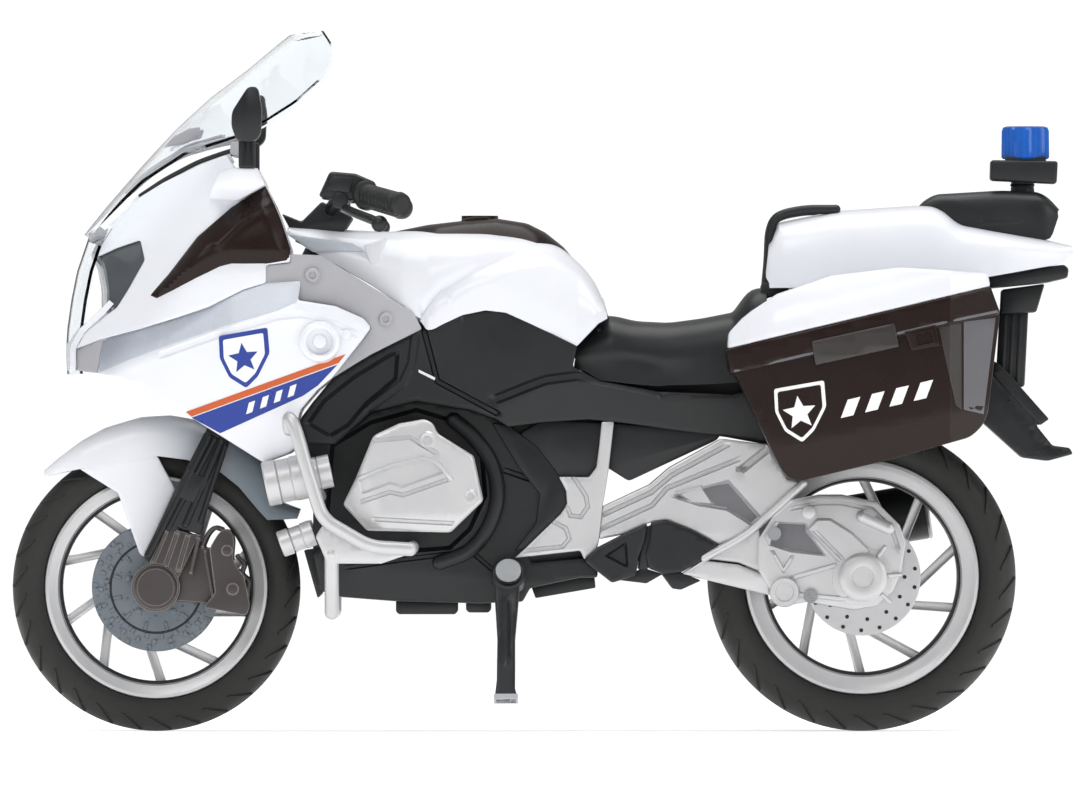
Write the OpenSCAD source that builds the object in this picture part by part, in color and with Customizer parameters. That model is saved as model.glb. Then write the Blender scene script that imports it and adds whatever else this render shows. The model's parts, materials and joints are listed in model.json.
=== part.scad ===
// Toy touring motorcycle with a pull-back spring motor, scale about 1:12.
// It faces -X, its left side is -Y, and it stands on z = 0.

/* [Wheels] */
// Radius of the front tyre
front_r = 25.1; // [24.5:0.1:25.4]
// Radius of the rear tyre
rear_r = 26.9; // [26.4:0.1:27.2]
// Width of the front tyre
front_tyre_w = 10; // [8:0.5:10.5]
// Width of the rear tyre
rear_tyre_w = 15; // [12:0.5:15]
// Width of one wheel spoke
spoke_w = 1.3; // [1:0.1:1.8]

/* [Steering] */
// Lean of the steering axis from vertical, in degrees
rake = 26; // [25.5:0.1:26.5]
// Distance from the bike's middle to the middle of a fork leg
fork_half_w = 8.9; // [8.8:0.05:9.2]
// Radius of the steering stem
stem_r = 2; // [1.5:0.1:2.2]

/* [Body] */
// Half width of the nose fairing
nose_half_w = 25; // [25:0.5:26]
// Half width of the tank
tank_half_w = 17; // [15:0.5:17]
// Half width of the seat
seat_half_w = 13.5; // [12:0.5:13.5]
// Distance from the bike's middle to the outer wall of a pannier
pannier_outer = 38.5; // [37:0.5:39]

/* [Motor] */
// Module of the motor's gears
gear_module = 0.5; // [0.5:0.1:0.5]
// Teeth of the gear on the rear axle
axle_teeth = 14; // [14:1:14]
// Teeth of the gear on the spring barrel
barrel_teeth = 26; // [26:1:26]
// Direction from the rear axle to the spring barrel, in degrees
barrel_dir = 151; // [149:1:153]

/* [Fits] */
// Radial gap of a part that turns on a shaft
running_gap = 0.05; // [0.02:0.01:0.1]

/* [Stand] */
// Outward lean of the side stand's leg, in degrees
stand_splay = 25; // [20:1:27]
// Length of the side stand's leg from its pivot
stand_len = 23.8; // [22:0.1:24]

/* [Hidden] */
$fn = 48;
hull_fn = 12;
front_hub = [-67.4, front_r];
rear_hub = [55.6, rear_r];
steer_foot = [-44, 70];
fork_offset = 3.5;
core_half_w = 11.5;
bag_inner = 14;
axle_r = 1.2;
rear_axle_r = 1.5;
arbor_r = 1;
stand_pivot = [-6, -16.6, 27];
stand_pin_r = 1;
centre_distance = gear_module * (axle_teeth + barrel_teeth) / 2;
barrel_hub = rear_hub + centre_distance * [cos(barrel_dir), sin(barrel_dir)];

// Side outlines, each a list of [x, z]
tank_top = [[-27, 86], [-20, 86.4], [-10, 86.2], [-4, 85.5], [2, 84], [4.5, 82]];
tank_foot = [[6, 67.1], [-2, 71], [-6.5, 73], [-10, 73.4], [-14, 72.6], [-20, 69.8]];
nose_top = [[-76.5, 87], [-70.3, 93], [-66, 95.5], [-60, 98.5], [-55, 100.3]];
nose_foot = [[-48, 78], [-52, 76.8], [-58, 73.8], [-64, 71.8], [-70, 70], [-76.5, 68.3]];
lens_edge = [[-78, 82], [-74, 84.2], [-70, 85.5], [-69.2, 82], [-72, 77], [-74, 74.2]];
deck = [[-36, 59], [-20, 59.5], [-10, 57], [24, 57]];
spine_front = [[-37.2, 67.3], [-41.2, 69], [-36, 79.5], [-28, 76], [-10, 68]];
seat_foot = [[5.2, 63.5], [10, 61], [20, 60.2], [38.5, 62.5]];
tail_top = [[40.3, 87.5], [51, 89.7], [66, 90.7], [68.5, 90.5], [72, 87], [80, 85.8], [86, 84.9]];
arch = [[30.5, 32.5], [26, 35], [21.5, 36.8], [18.5, 36.3], [14, 34.3], [9.5, 32]];
housing_side = [[37.5, 33.5], [40, 37.5], [43, 40.3], [48, 41.3], [52, 41.3], [58, 40], [62, 36],
    [63.2, 33], [62.4, 28], [61, 24.5], [58, 21.8], [54, 21.2], [46, 22.6], [42, 21.9],
    [39.6, 24.5], [37.5, 28]];
lid_rim = [[32, 66.3], [77.5, 77.2]];

// Cover screws of the motor, as X and Z
screw_spots = [[40.2, 34.5], [56.6, 37.6], [46.5, 23.6]];
// Spiral of the mainspring: turns, inner radius, pitch, strip thickness and points a turn
spring_turns = 4;
spring_inner = 1.6;
spring_pitch = 0.8;
spring_strip = 0.3;
spring_steps = 20;

// Ways of building

// Solid of a side outline between two y values
module slab(outline, y0, y1) {
    translate([0, y1, 0]) rotate([90, 0, 0]) linear_extrude(y1 - y0) polygon(outline);
}

// Solid of a plan outline, a list of [x, y], between two z values
module block(outline, z0, z1) {
    translate([0, 0, z0]) linear_extrude(z1 - z0) polygon(outline);
}

// Cylinder along Y at a point [x, z]
module rod_y(r, y0, y1, at) {
    translate([at[0], y0, at[1]]) rotate([-90, 0, 0]) cylinder(r = r, h = y1 - y0);
}

// Body of revolution about Y at a point [x, z], from a profile of [radius, y]
module wheel_body(profile, at) {
    translate([at[0], 0, at[1]]) rotate([-90, 0, 0]) rotate_extrude($fn = 96) polygon(profile);
}

// The same thing on both sides
module both_sides() {
    children();
    mirror([0, 1, 0]) children();
}

// Round bar along a list of points
module bar_path(points, r) {
    for (i = [0 : len(points) - 2]) hull() {
        translate(points[i]) sphere(r = r, $fn = hull_fn);
        translate(points[i + 1]) sphere(r = r, $fn = hull_fn);
    }
}

// Frame with its Z axis along the steering axis
module in_fork() {
    translate([steer_foot[0], 0, steer_foot[1]]) rotate([0, rake, 0]) children();
}

// Frame of the side stand, with the pivot along Y and the leg along -Z
module in_stand() {
    translate(stand_pivot) rotate([-stand_splay, 0, 0]) children();
}

// A plan outline made of one side's points and their mirror image
function both_halves(points) = concat(points,
    [for (i = [len(points) - 1 : -1 : 0]) [points[i][0], -points[i][1]]]);

function polar(r, a) = r * [cos(a), sin(a)];

// Gears

pressure = 20;
backlash = 0.12;
function involute(a) = tan(a) * 180 / PI - a;
function flank(teeth, r) = let (pitch = gear_module * teeth / 2, base = pitch * cos(pressure))
    90 / teeth - backlash * 45 / PI / pitch + involute(pressure)
    - involute(acos(min(1, base / max(r, base))));
function gear_outline(teeth, first) = let (pitch = gear_module * teeth / 2,
        root = pitch - 1.2 * gear_module, tip = pitch + 0.9 * gear_module,
        radii = [root, pitch - 0.3 * gear_module, pitch, pitch + 0.5 * gear_module, tip])
    [for (i = [0 : teeth - 1]) let (mid = first + i * 360 / teeth)
        each concat([for (r = radii) polar(r, mid - flank(teeth, r))],
            [for (k = [4 : -1 : 0]) polar(radii[k], mid + flank(teeth, radii[k]))])];

module gear(teeth, first, y0, y1, at) {
    slab([for (p = gear_outline(teeth, first)) at + p], y0, y1);
}

// Engine and frame

module engine_block() {
    color("#1d1e20") difference() {
        union() {
            slab(concat([[-40, 31], [-38.8, 24.5], [-35, 23.4], [-26, 22.6], [-11, 22.6], [-3.5, 22.6],
                [-2.2, 25], [6.5, 26.8], [9.5, 26.8], [9.5, 52], [24, 54]], [for (i = [3 : -1 : 0]) deck[i]],
                [[-40, 56]]), -core_half_w, core_half_w);
            both_sides() slab([[-13, 52], [-8, 52.6], [-1, 49.5], [2.7, 44.4], [4, 42], [4.2, 39.5], [3, 37.8],
                [-3, 32], [-5, 30.2], [-11, 23.5], [-20, 25], [-34, 27], [-34, 28.8], [-24, 30.2],
                [-12, 33.5], [-8.5, 36], [-7, 41], [-8, 46]], -14.5, -core_half_w);
            in_stand() rod_y(2.6, 1.6, 9, [0, 0]);
        }
        in_stand() {
            rod_y(stand_pin_r, -4, 7, [0, 0]);
            rod_y(3.5, -4, 1.6, [0, 0]);
        }
    }
}

module main_frame() {
    color("#1d1e20") difference() {
        union() {
            in_fork() cylinder(r = 4, h = 14);
            slab(concat(spine_front, seat_foot, [[40, 77], [77, 77], [77, 66], [60, 62], [40, 58.5]],
                [for (i = [3 : -1 : 0]) deck[i]]), -5, 5);
            for (x = [45, 66]) translate([x, -bag_inner, 66]) cube([5, 2 * bag_inner, 4]);
        }
        in_fork() translate([0, 0, -1]) cylinder(r = stem_r + running_gap, h = 16);
    }
}

module belly_plates() {
    color("#17181a") {
        translate([-25.6, -9, 20.4]) cube([10.8, 18, 2.2]);
        translate([-13.4, -9, 20.7]) cube([4.4, 18, 1.9]);
        slab([[-1.3, 23.2], [9.2, 25], [9, 26.8], [6.5, 26.8], [-2, 25]], -9, 9);
    }
}

module side_panel() {
    intersection() {
        slab(concat([[-36.5, 61.5], [-30, 65.5], [-21, 70]], [for (i = [5 : -1 : 0]) tank_foot[i]],
            [[5.2, 63.5], [10, 61], [20, 58.5], [33, 58.5], [39, 50], [32, 51.3], [24, 52.3], [14, 53.7],
            [8, 54.3], [0, 53.8], [-6, 53], [-8.5, 54.5], [-13, 56], [-22, 57.5], [-30, 55.5], [-36, 50],
            [-41, 50], [-42.3, 54.2], [-40, 57.3]]), -20, -core_half_w);
        block([[-43, -core_half_w], [-43, -20], [-20, -17.5], [6, -17], [40, bag_inner - 28],
            [40, -core_half_w]], 49, 74);
    }
}

module side_panel_left() { color("#26282a") side_panel(); }
module side_panel_right() { color("#26282a") mirror([0, 1, 0]) side_panel(); }

module crash_bars() {
    color("#c9c9c9") both_sides() {
        bar_path([[-44, -28.6, 55], [-41, -30, 46], [-38.2, -30, 37], [-30, -30, 32.2], [-23, -28, 31.8]], 1.2);
        bar_path([[-36.6, -28.6, 31], [-36.6, -24, 20.8]], 1.2);
        slab([[-39.6, 34], [-37, 29], [-28, 29.2], [-23.5, 30.5], [-31, 32.4], [-38.4, 36]], -30, -14.5);
    }
}

module fog_lamps() {
    color("#b9b9b9") both_sides() {
        translate([-48.2, -24.6, 43]) rotate([0, 78, 0]) {
            cylinder(r = 3.6, h = 7.4);
            cylinder(r = 2.6, h = 11.8);
        }
        translate([-45.6, -24.6, 32.6]) rotate([0, 68, 0]) cylinder(r = 2.2, h = 6);
    }
}

module cylinder_covers() {
    color("#cfcfcf") both_sides() difference() {
        slab([[-20.4, 54.4], [-25, 53.6], [-29.4, 51.5], [-32.5, 44], [-34.7, 39.5], [-30.5, 35],
            [-16, 34.7], [-10.3, 40.2], [-12, 48], [-18.3, 51.9], [-19, 53.6]], -29, -core_half_w);
        block([[-36, -20], [-28, -30], [-36, -30]], 34, 55);
    }
}

module footrest_plates() {
    color("#cfcfcf") both_sides() slab([[10.2, 53.8], [12.4, 53.8], [11.5, 46], [10.4, 39.2], [9.8, 33.5],
        [9.5, 32], [7.2, 29.7], [6.5, 31.5], [-5, 30.2], [-3, 32], [3, 37.8], [4.2, 39.5], [4, 42],
        [2.7, 44.4], [8, 44.3], [9.3, 46], [9.8, 50]], -15.5, -core_half_w);
}

module heel_guards() {
    color("#222426") both_sides() slab(concat(arch, [[7.2, 29.7], [12, 25.9], [16, 27], [18, 28.3],
        [21, 26.2], [22.5, 24.8], [24, 24.7], [27.5, 26.3], [24, 27.5], [27.8, 29.7]]), -17, -12);
}

module subframe() {
    color("#cfcfcf") both_sides() difference() {
        slab(concat([[9.8, 33.5], [10.4, 39.2], [18.5, 43], [22, 46], [31, 51], [39, 50], [42.5, 44],
            [45.5, 43.4], [39.5, 37.8], [35, 33.8]], arch), -15.5, -core_half_w);
        slab([[34, 45], [35.4, 45.2], [39, 48.4], [38.6, 49]], -16, -core_half_w + 1);
    }
}

module swing_arm() {
    color("#cfcfcf") slab([[24, 27.5], [27.8, 29.7], [30.5, 32.5], [35, 33.8], [37.5, 35.95],
        [37.5, 28], [39.6, 24.5], [39.5, 23.7]], -15.5, -10);
}

// Motor

module drive_housing() {
    color("#c4c4c4") difference() {
        union() {
            difference() {
                slab(housing_side, -16.2, -9.4);
                rod_y(gear_module * barrel_teeth / 2 + 0.9, -17, -10.6, barrel_hub);
                rod_y(gear_module * axle_teeth / 2 + 0.9, -17, -10.6, rear_hub);
            }
            rod_y(arbor_r, -16.2, -10, barrel_hub);
        }
        rod_y(rear_axle_r + running_gap, -11, -9, rear_hub);
        for (at = screw_spots) rod_y(0.6, -17, -12, at);
    }
}

module drive_cover() {
    color("#d4d4d4") difference() {
        union() {
            slab(housing_side, -17.4, -16.2);
            rod_y(4.2, -18.8, -17, rear_hub);
            rod_y(2.6, -18, -17, [42, 24.6]);
        }
        rod_y(rear_axle_r + running_gap, -18, -16, rear_hub);
        for (at = screw_spots) rod_y(0.6, -18, -16, at);
    }
}

module cover_screws() {
    color("#9a9a9a") for (at = screw_spots) {
        rod_y(0.6, -17.4, -12.8, at);
        rod_y(1.2, -18.1, -17.4, at);
    }
}

module rear_axle() {
    color("#a0a0a0") {
        rod_y(rear_axle_r, -17.8, 7.4, rear_hub);
        gear(axle_teeth, barrel_dir, -13.2, -10.9, rear_hub);
    }
}

module spring_barrel() {
    color("#b08d3c") difference() {
        union() {
            gear(barrel_teeth, barrel_dir + 180 + 180 / barrel_teeth, -12.5, -11.1, barrel_hub);
            rod_y(5.6, -15.8, -12.5, barrel_hub);
        }
        rod_y(arbor_r + running_gap, -16, -11, barrel_hub);
        rod_y(5, -16, -12.9, barrel_hub);
    }
}

module mainspring() {
    function arc(offset) = [for (i = [0 : spring_turns * spring_steps]) let (a = i * 360 / spring_steps)
        barrel_hub + polar(spring_inner + offset + spring_pitch * a / 360, a)];
    outer = arc(spring_strip / 2);
    inner = arc(-spring_strip / 2);
    color("#6b7f95") slab(concat(outer, [for (i = [len(inner) - 1 : -1 : 0]) inner[i]]), -15.5, -13.1);
}

// Exhaust

module muffler() {
    color("#1b1c1e") translate([31, 20.8, 32.4]) rotate([0, 80.6, 0]) difference() {
        cylinder(r = 4.9, h = 37);
        translate([0, 0, 32]) cylinder(r = 3, h = 6);
        translate([0, 0, -1]) cylinder(r = 2.5, h = 5);
    }
}

module exhaust_pipe() {
    color("#8d8d8d") difference() {
        bar_path([[-20, 20, 33.2], [-16, 19.4, 30], [24, 19.4, 30], [32.3, 20.7, 32.6]], 1.8);
        translate([-40, 10, 34.6]) cube([40, 20, 4]);
    }
}

// Fairing

nose_plan = both_halves([[-81.4, -9], [-78, -15], [-72, -20], [-64, -23.5], [-54, -nose_half_w],
    [-43, -nose_half_w]]);

module nose_fairing() {
    color("#f2f3f5") difference() {
        intersection() {
            union() {
                slab(concat(nose_top, [[-53, 97.7], [-49.5, 97.7], [-48.2, 94.9], [-43.8, 84], [-43.8, 81.6],
                    [-48, 81.1]], nose_foot, [[-81.2, 66.8], [-79.5, 69.5], [-76, 72.3]],
                    [for (i = [5 : -1 : 0]) lens_edge[i]]), -30, 30);
                slab([[-81.2, 66.8], [-76.5, 68.3], [-77.5, 62.5], [-81.2, 62.5]], -30, 30);
            }
            block(nose_plan, 60, 102);
        }
        block(both_halves([[-68, -13], [-62, -18], [-54, -21], [-40, -21]]), 60, 94);
    }
}

module headlight_lens() {
    color("#3a3d40") intersection() {
        slab(concat(lens_edge, [[-76, 72.3], [-79.5, 69.5], [-81.1, 67.5], [-80.9, 72], [-79.7, 78.5]]), -30, 30);
        block(nose_plan, 60, 102);
    }
}

module headlight_cover() {
    color("#dfe8ee", 0.5) slab([[-78.4, 85.9], [-79.3, 84], [-80.9, 79], [-81.9, 74], [-82.5, 69], [-82.5, 62.3],
        [-81.4, 62.3], [-81.4, 68], [-81.1, 73], [-80, 78.7], [-78.3, 83.4], [-77.4, 85.8]], -9, 9);
}

module windshield() {
    shield_r = 27;
    color("#e8eef2", 0.4) intersection() {
        slab(concat(nose_top, [[-53, 103.5], [-48, 106.5], [-43, 109.5], [-36.8, 115], [-36.8, 119.5],
            [-38, 122.3], [-43.4, 122.3], [-52, 115.8], [-64, 105.5], [-76.5, 91.8], [-80.5, 86.5]]), -19, 19);
        translate([-78.5, 0, 87.6]) rotate([0, 45, 0]) translate([shield_r, 0, -6]) difference() {
            cylinder(r = shield_r, h = 60, $fn = 96);
            translate([0, 0, -1]) cylinder(r = shield_r - 1.2, h = 62, $fn = 96);
        }
    }
}

module mirrors() {
    color("#151617") both_sides() {
        slab([[-53.8, 107.5], [-51, 111.8], [-49.3, 111.8], [-48.6, 108], [-48.8, 103.5], [-50, 102.3],
            [-53, 102.3]], -40, -29);
        slab([[-52.7, 97.7], [-52.7, 102.3], [-49.8, 102.3], [-49.8, 97.7]], -32, -28.5);
        translate([-52.7, -32, 95.5]) cube([2.9, 32 - nose_half_w, 2.2]);
    }
}

module side_fairing() {
    intersection() {
        slab(concat([for (i = [5 : -1 : 0]) nose_foot[i]], [[-42, 78.3], [-42.5, 75], [-36, 74], [-31, 71.8],
            [-29.8, 70.2], [-31, 68.5], [-36.5, 61.5], [-40, 57.3], [-42.3, 54.2], [-42, 50], [-44, 48.5],
            [-48.5, 46.8], [-52, 49], [-56, 51.5], [-60, 54], [-66, 57.8], [-70, 60], [-77.5, 62.3]]), -30, 0);
        block([[-77.6, -11], [-72, -18], [-64, -22.5], [-54, -26], [-44, -27], [-36, -26.5], [-29, -24],
            [-29, -20], [-36, -22], [-54, -21], [-64, -17.5], [-72, -13], [-77.6, -6]], 46, 80);
    }
}

module side_fairing_left() { color("#f2f3f5") side_fairing(); }
module side_fairing_right() { color("#f2f3f5") mirror([0, 1, 0]) side_fairing(); }

module inner_panels() {
    color("#b4b4b9") both_sides() intersection() {
        slab([[-48, 78], [-48, 81.1], [-43.8, 81.6], [-43.8, 83.4], [-38.5, 82.8], [-30, 78], [-24, 74],
            [-20, 69.8], [-21, 70], [-30, 65.5], [-36.5, 61.5], [-31, 68.5], [-29.8, 70.2], [-31, 71.8],
            [-36, 74], [-42.5, 75], [-42, 78.3]], -30, 0);
        block([[-49, -24.9], [-40, -23.8], [-30, -21.5], [-20, -17.5], [-20, -12.5], [-49, -18]], 60, 84);
    }
}

module winglets() {
    color("#2a1d18") both_sides() slab([[-48.2, 94.9], [-43.8, 84], [-43.8, 81.6], [-54, 81.3], [-60, 78.8],
        [-67, 75], [-68.4, 75.8], [-60, 86], [-54, 91.2]], -nose_half_w - 1.6, -nose_half_w);
}

// Tank and seat

module tank_cover() {
    color("#f2f3f5") difference() {
        slab(concat([[-44.5, 86.8], [-34, 86.3], [-31, 85]], tank_top, [[7.5, 79], [9.5, 75.5], [10.5, 72]],
            tank_foot, [[-24, 74], [-30, 78], [-38.5, 82.8]]), -tank_half_w, tank_half_w);
        slab([[-50, 60], [-50, 90], [-31, 90], [-28, 60]], -12.5, 12.5);
        slab(concat(spine_front, [[5.2, 63.5], [5.2, 57], [-37.2, 57]]), -5, 5);
    }
}

module tank_pad() {
    color("#2a1d18") slab(concat([for (i = [5 : -1 : 0]) tank_top[i]],
        [[-20, 87.5], [-15, 88.4], [-6, 88.4], [-3, 87.8], [0, 86.3], [3, 83.8], [4.9, 82.1]]), -9, 9);
}

module filler_cap() {
    color("#2f2622") translate([-10.4, 0, 88.4]) {
        cylinder(r = 4.1, h = 0.9);
        cylinder(r = 2.6, h = 1.4);
    }
}

module seat() {
    color("#1c1d1f") slab(concat([[6, 67.1], [10.5, 71.2], [16, 70.3], [22, 70], [28, 70.8], [34.5, 72.1],
        [36, 76], [38.4, 76.4]], [for (i = [3 : -1 : 0]) seat_foot[i]]), -seat_half_w, seat_half_w);
}

// Luggage and tail

pannier_plan = [[31, -bag_inner], [31, -28], [38, -36], [46, -pannier_outer], [70, -pannier_outer],
    [80, -31], [80, -bag_inner]];

module pannier() {
    intersection() {
        slab(concat(lid_rim, [[79.2, 72.7], [77, 55], [76, 53], [74, 51.2], [60, 47.3], [44.5, 43.6], [42.5, 44],
            [41, 46], [33.3, 62]]), -40, 0);
        block(pannier_plan, 40, 80);
    }
}

module pannier_left() { color("#2a1d18") pannier(); }
module pannier_right() { color("#2a1d18") mirror([0, 1, 0]) pannier(); }

module pannier_lid() {
    difference() {
        intersection() {
            slab(concat(lid_rim, [[77, 80], [62, 80.5], [50, 79.5], [40.5, 76.5], [36, 73], [32.3, 69.3]]), -40, 0);
            block(pannier_plan, 60, 90);
        }
        translate([0, -pannier_outer, 74.5]) rotate([18, 0, 0]) translate([20, -20, 0]) cube([70, 50, 20]);
    }
}

module pannier_lid_left() { color("#f2f3f5") pannier_lid(); }
module pannier_lid_right() { color("#f2f3f5") mirror([0, 1, 0]) pannier_lid(); }

module tail_box() {
    color("#f2f3f5") slab(concat([[40, 77]], tail_top, [[88, 84.5], [92.3, 83.5], [90, 81.5], [78, 79.2],
        [77, 77]]), -bag_inner, bag_inner);
}

module grab_rail() {
    color("#17181a") {
        both_sides() slab([[38.5, 76.5], [39.3, 82], [39.5, 87], [40, 89], [42, 90.5], [46, 91.2], [50, 91.3],
            [51.5, 90.6], [51, 89.7], [40.3, 87.5], [40, 77]], -9.5, -7.5);
        slab([[39.35, 84], [39.5, 87], [40, 89], [40.3, 87.5], [40.2, 84]], -8, 8);
    }
}

module radio_box() {
    color("#17181a") slab(concat([[66, 90.7], [68, 92.8], [80, 93.4], [87, 93.4], [88.5, 93], [89.5, 90],
        [88.3, 86]], [for (i = [6 : -1 : 2]) tail_top[i]]), -6.5, 6.5);
}

module beacon_stand() {
    color("#17181a") {
        translate([83.7, 0, 93.4]) cylinder(r = 2.1, h = 3);
        slab([[78.2, 99.7], [89.8, 99.4], [89.6, 95.3], [78, 95.9]], -4.6, 4.6);
    }
}

module beacon_lens() {
    color("#1f5fc0", 0.8) difference() {
        translate([84.2, 0, 99.3]) cylinder(r = 4.2, h = 6.2);
        slab([[78.2, 99.7], [89.8, 99.4], [89.6, 95.3], [78, 95.9]], -4.6, 4.6);
    }
}

module rear_rack() {
    color("#17181a") slab([[78, 79.2], [90, 81.5], [91.6, 80.6], [91.4, 79], [88, 78.2], [78, 77.2]], -9, 9);
}

module rear_mudguard() {
    color("#1d1e20") {
        slab([[80, 77.4], [87.5, 78.15], [86, 73], [79.8, 72.8]], -6, 6);
        slab([[79.8, 74], [84.8, 74], [84, 59], [79, 60]], -4, 4);
        slab([[77.8, 65], [79.8, 63.8], [83.5, 59.5], [87, 54.7], [86, 53.3], [88.8, 49.8], [91.8, 49.4],
            [92.4, 48.3], [88, 47.1], [83.5, 47.7], [76.5, 54]], -7, 7);
    }
}

// Side stand

module stand_bolt() {
    color("#6d6d6d") in_stand() {
        rod_y(stand_pin_r, -1.7, 7, [0, 0]);
        rod_y(2.2, -2.6, -1.7, [0, 0]);
    }
}

module side_stand() {
    color("#1b1c1e") in_stand() difference() {
        union() {
            rod_y(3, -1.4, 1.4, [0, 0]);
            slab([[-2.4, 0], [2, 0], [1.2, -12], [1.2, 2 - stand_len], [3, -stand_len], [-2.4, -stand_len],
                [-1.9, -12]], -1.1, 1.1);
        }
        rod_y(stand_pin_r + running_gap, -2, 2, [0, 0]);
    }
}

// Front end

module steering_stem() {
    color("#8d8d8d") in_fork() translate([0, 0, -3.2]) cylinder(r = stem_r, h = 19.6);
}

module fork_yokes() {
    color("#222426") in_fork() difference() {
        union() {
            translate([-6, -11.5, -3.2]) cube([9, 23, 3]);
            translate([-6, -7, 14.2]) cube([8.5, 14, 2.2]);
        }
        translate([0, 0, -4]) cylinder(r = stem_r, h = 22);
        both_sides() translate([-fork_offset, fork_half_w, -4]) cylinder(r = 2.1, h = 4);
    }
}

module fork_leg() {
    difference() {
        union() {
            in_fork() translate([-fork_offset, -fork_half_w, 0]) {
                translate([0, 0, -40]) cylinder(r = 2.1, h = 39.8);
                translate([0, 0, -52]) cylinder(r = 2.4, h = 16);
            }
            rod_y(3.8, -10.8, -6.5, front_hub);
        }
        rod_y(axle_r, -12, 0, front_hub);
    }
}

module fork_legs() { color("#1b1c1e") both_sides() fork_leg(); }

module front_axle() {
    color("#3d3735") {
        rod_y(axle_r, -11, 11, front_hub);
        both_sides() rod_y(3.8, -11.6, -10.8, front_hub);
    }
}

module calipers() {
    color("#3d3735") both_sides() difference() {
        union() {
            slab([[-65, 30], [-60.5, 32], [-57.5, 32], [-56, 24], [-58.5, 22.3], [-65, 22.8]], -9.4, -6.5);
            slab([[-58, 32], [-56.5, 34.5], [-55.5, 35.3], [-54.3, 35], [-53.7, 33.5], [-54, 30], [-52, 27],
                [-51, 22], [-51.5, 20.2], [-59, 21.6], [-58.5, 22.3], [-57, 24]], -10.2, -6.5);
        }
        fork_leg();
        rod_y(3.8, -12, -6, front_hub);
    }
}

module front_fender() {
    color("#dfe3ea") difference() {
        slab([[-86.5, 44.8], [-84, 47], [-80, 50], [-76, 52.2], [-70, 54], [-65, 54.3], [-58.5, 52.5],
            [-54, 50.3], [-48.5, 46], [-47.7, 42], [-46.5, 39.5], [-42.5, 38], [-43, 37], [-48, 36.8],
            [-52, 41.5], [-56, 45], [-61.5, 47.5], [-64, 42.2], [-69.5, 30.3], [-70.3, 31], [-74, 41.5],
            [-78, 44], [-81, 45.3], [-86, 44.3]], -7.5, 7.5);
        rod_y(front_r + 1.1, -6.5, 6.5, front_hub);
        both_sides() in_fork() translate([-fork_offset, fork_half_w, -60]) cylinder(r = 2.4, h = 60);
        both_sides() rod_y(3.9, 6, 12, front_hub);
    }
}

module handlebar() {
    color("#17181a") {
        in_fork() translate([-6.5, -7, 16.4]) cube([9, 14, 3]);
        both_sides() {
            bar_path([[-38, -5, 88.6], [-36.5, -10, 91.5], [-33.5, -17.5, 94.2], [-31.5, -20, 93.6]], 1.3);
            slab([[-39, 93], [-37, 97.4], [-32.5, 97], [-29, 95.5], [-29, 93.6], [-33, 92.6]], -19.9, -16.5);
        }
    }
}

module grips() {
    color("#101112") both_sides() difference() {
        bar_path([[-31.2, -20.6, 93.5], [-24.3, -32.5, 91.5]], 1.9);
        translate([-50, -20, 85]) cube([30, 20, 15]);
        bar_path([[-38, -5, 88.6], [-36.5, -10, 91.5], [-33.5, -17.5, 94.2], [-31.5, -20, 93.6]], 1.3);
    }
}

// Wheels

module spoke(hub, tip, swirl, rim_r, disc_r, half_w) {
    outer = polar(rim_r + 0.4, tip);
    through = polar(disc_r, tip - swirl);
    along = (through - outer) / norm(through - outer);
    across = [-along[1], along[0]] * spoke_w / 2;
    reach = rim_r - 3.2;
    slab([for (p = [outer + across, outer - across, outer + reach * along - across,
        outer + reach * along + across]) hub + p], -half_w, half_w);
}

module front_rim() {
    color("#c9c9c9") difference() {
        union() {
            wheel_body([[16.9, -3.8], [19.5, -4], [19.5, 4], [16.9, 3.8]], front_hub);
            wheel_body([[0, -5.5], [5.4, -5.5], [5.4, 5.5], [0, 5.5]], front_hub);
            for (i = [0 : 9]) spoke(front_hub, 57.5 + 36 * i, i % 2 == 0 ? 8.5 : 17, 16.9, 11.2, 1.5);
            both_sides() rod_y(2.5, -6.1, -5.4, front_hub);
        }
        rod_y(axle_r + running_gap, -7, 7, front_hub);
    }
}

module front_tyre() {
    w = front_tyre_w / 2;
    color("#1a1a1a") wheel_body([[19.5, -4], [20.5, -4.6], [21.8, -w], [23.4, -w + 0.3], [24.6, -w + 1.8],
        [front_r, -1.4], [front_r, 1.4], [24.6, w - 1.8], [23.4, w - 0.3], [21.8, w], [20.5, 4.6],
        [19.5, 4]], front_hub);
}

module front_discs() {
    color("#6e757c") both_sides() wheel_body([[2.5, -6.1], [11.2, -6.1], [11.2, -5.5], [2.5, -5.5]], front_hub);
}

module rear_rim() {
    color("#b5b5b5") difference() {
        union() {
            wheel_body([[17.2, -6], [20.5, -6.2], [20.5, 6.2], [17.2, 6]], rear_hub);
            wheel_body([[0, -8.3], [5, -8.3], [5, 6], [0, 6]], rear_hub);
            for (i = [0 : 9]) spoke(rear_hub, 54 + 36 * i, i % 2 == 0 ? 10 : 20.5, 17.2, 10.6, 1.8);
            rod_y(2.6, -8.9, -8, rear_hub);
        }
        rod_y(rear_axle_r, -10, 8, rear_hub);
    }
}

module rear_tyre() {
    w = rear_tyre_w / 2;
    color("#1a1a1a") wheel_body([[20.5, -6.2], [21.6, -6.9], [23, -w], [24.8, -w + 0.4], [26.2, -w + 2.4],
        [rear_r, -2.4], [rear_r, 2.4], [26.2, w - 2.4], [24.8, w - 0.4], [23, w], [21.6, 6.9],
        [20.5, 6.2]], rear_hub);
}

module rear_disc() {
    color("#c6c6c6") wheel_body([[2.6, -8.9], [10.2, -8.9], [10.2, -8.3], [2.6, -8.3]], rear_hub);
}

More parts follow.
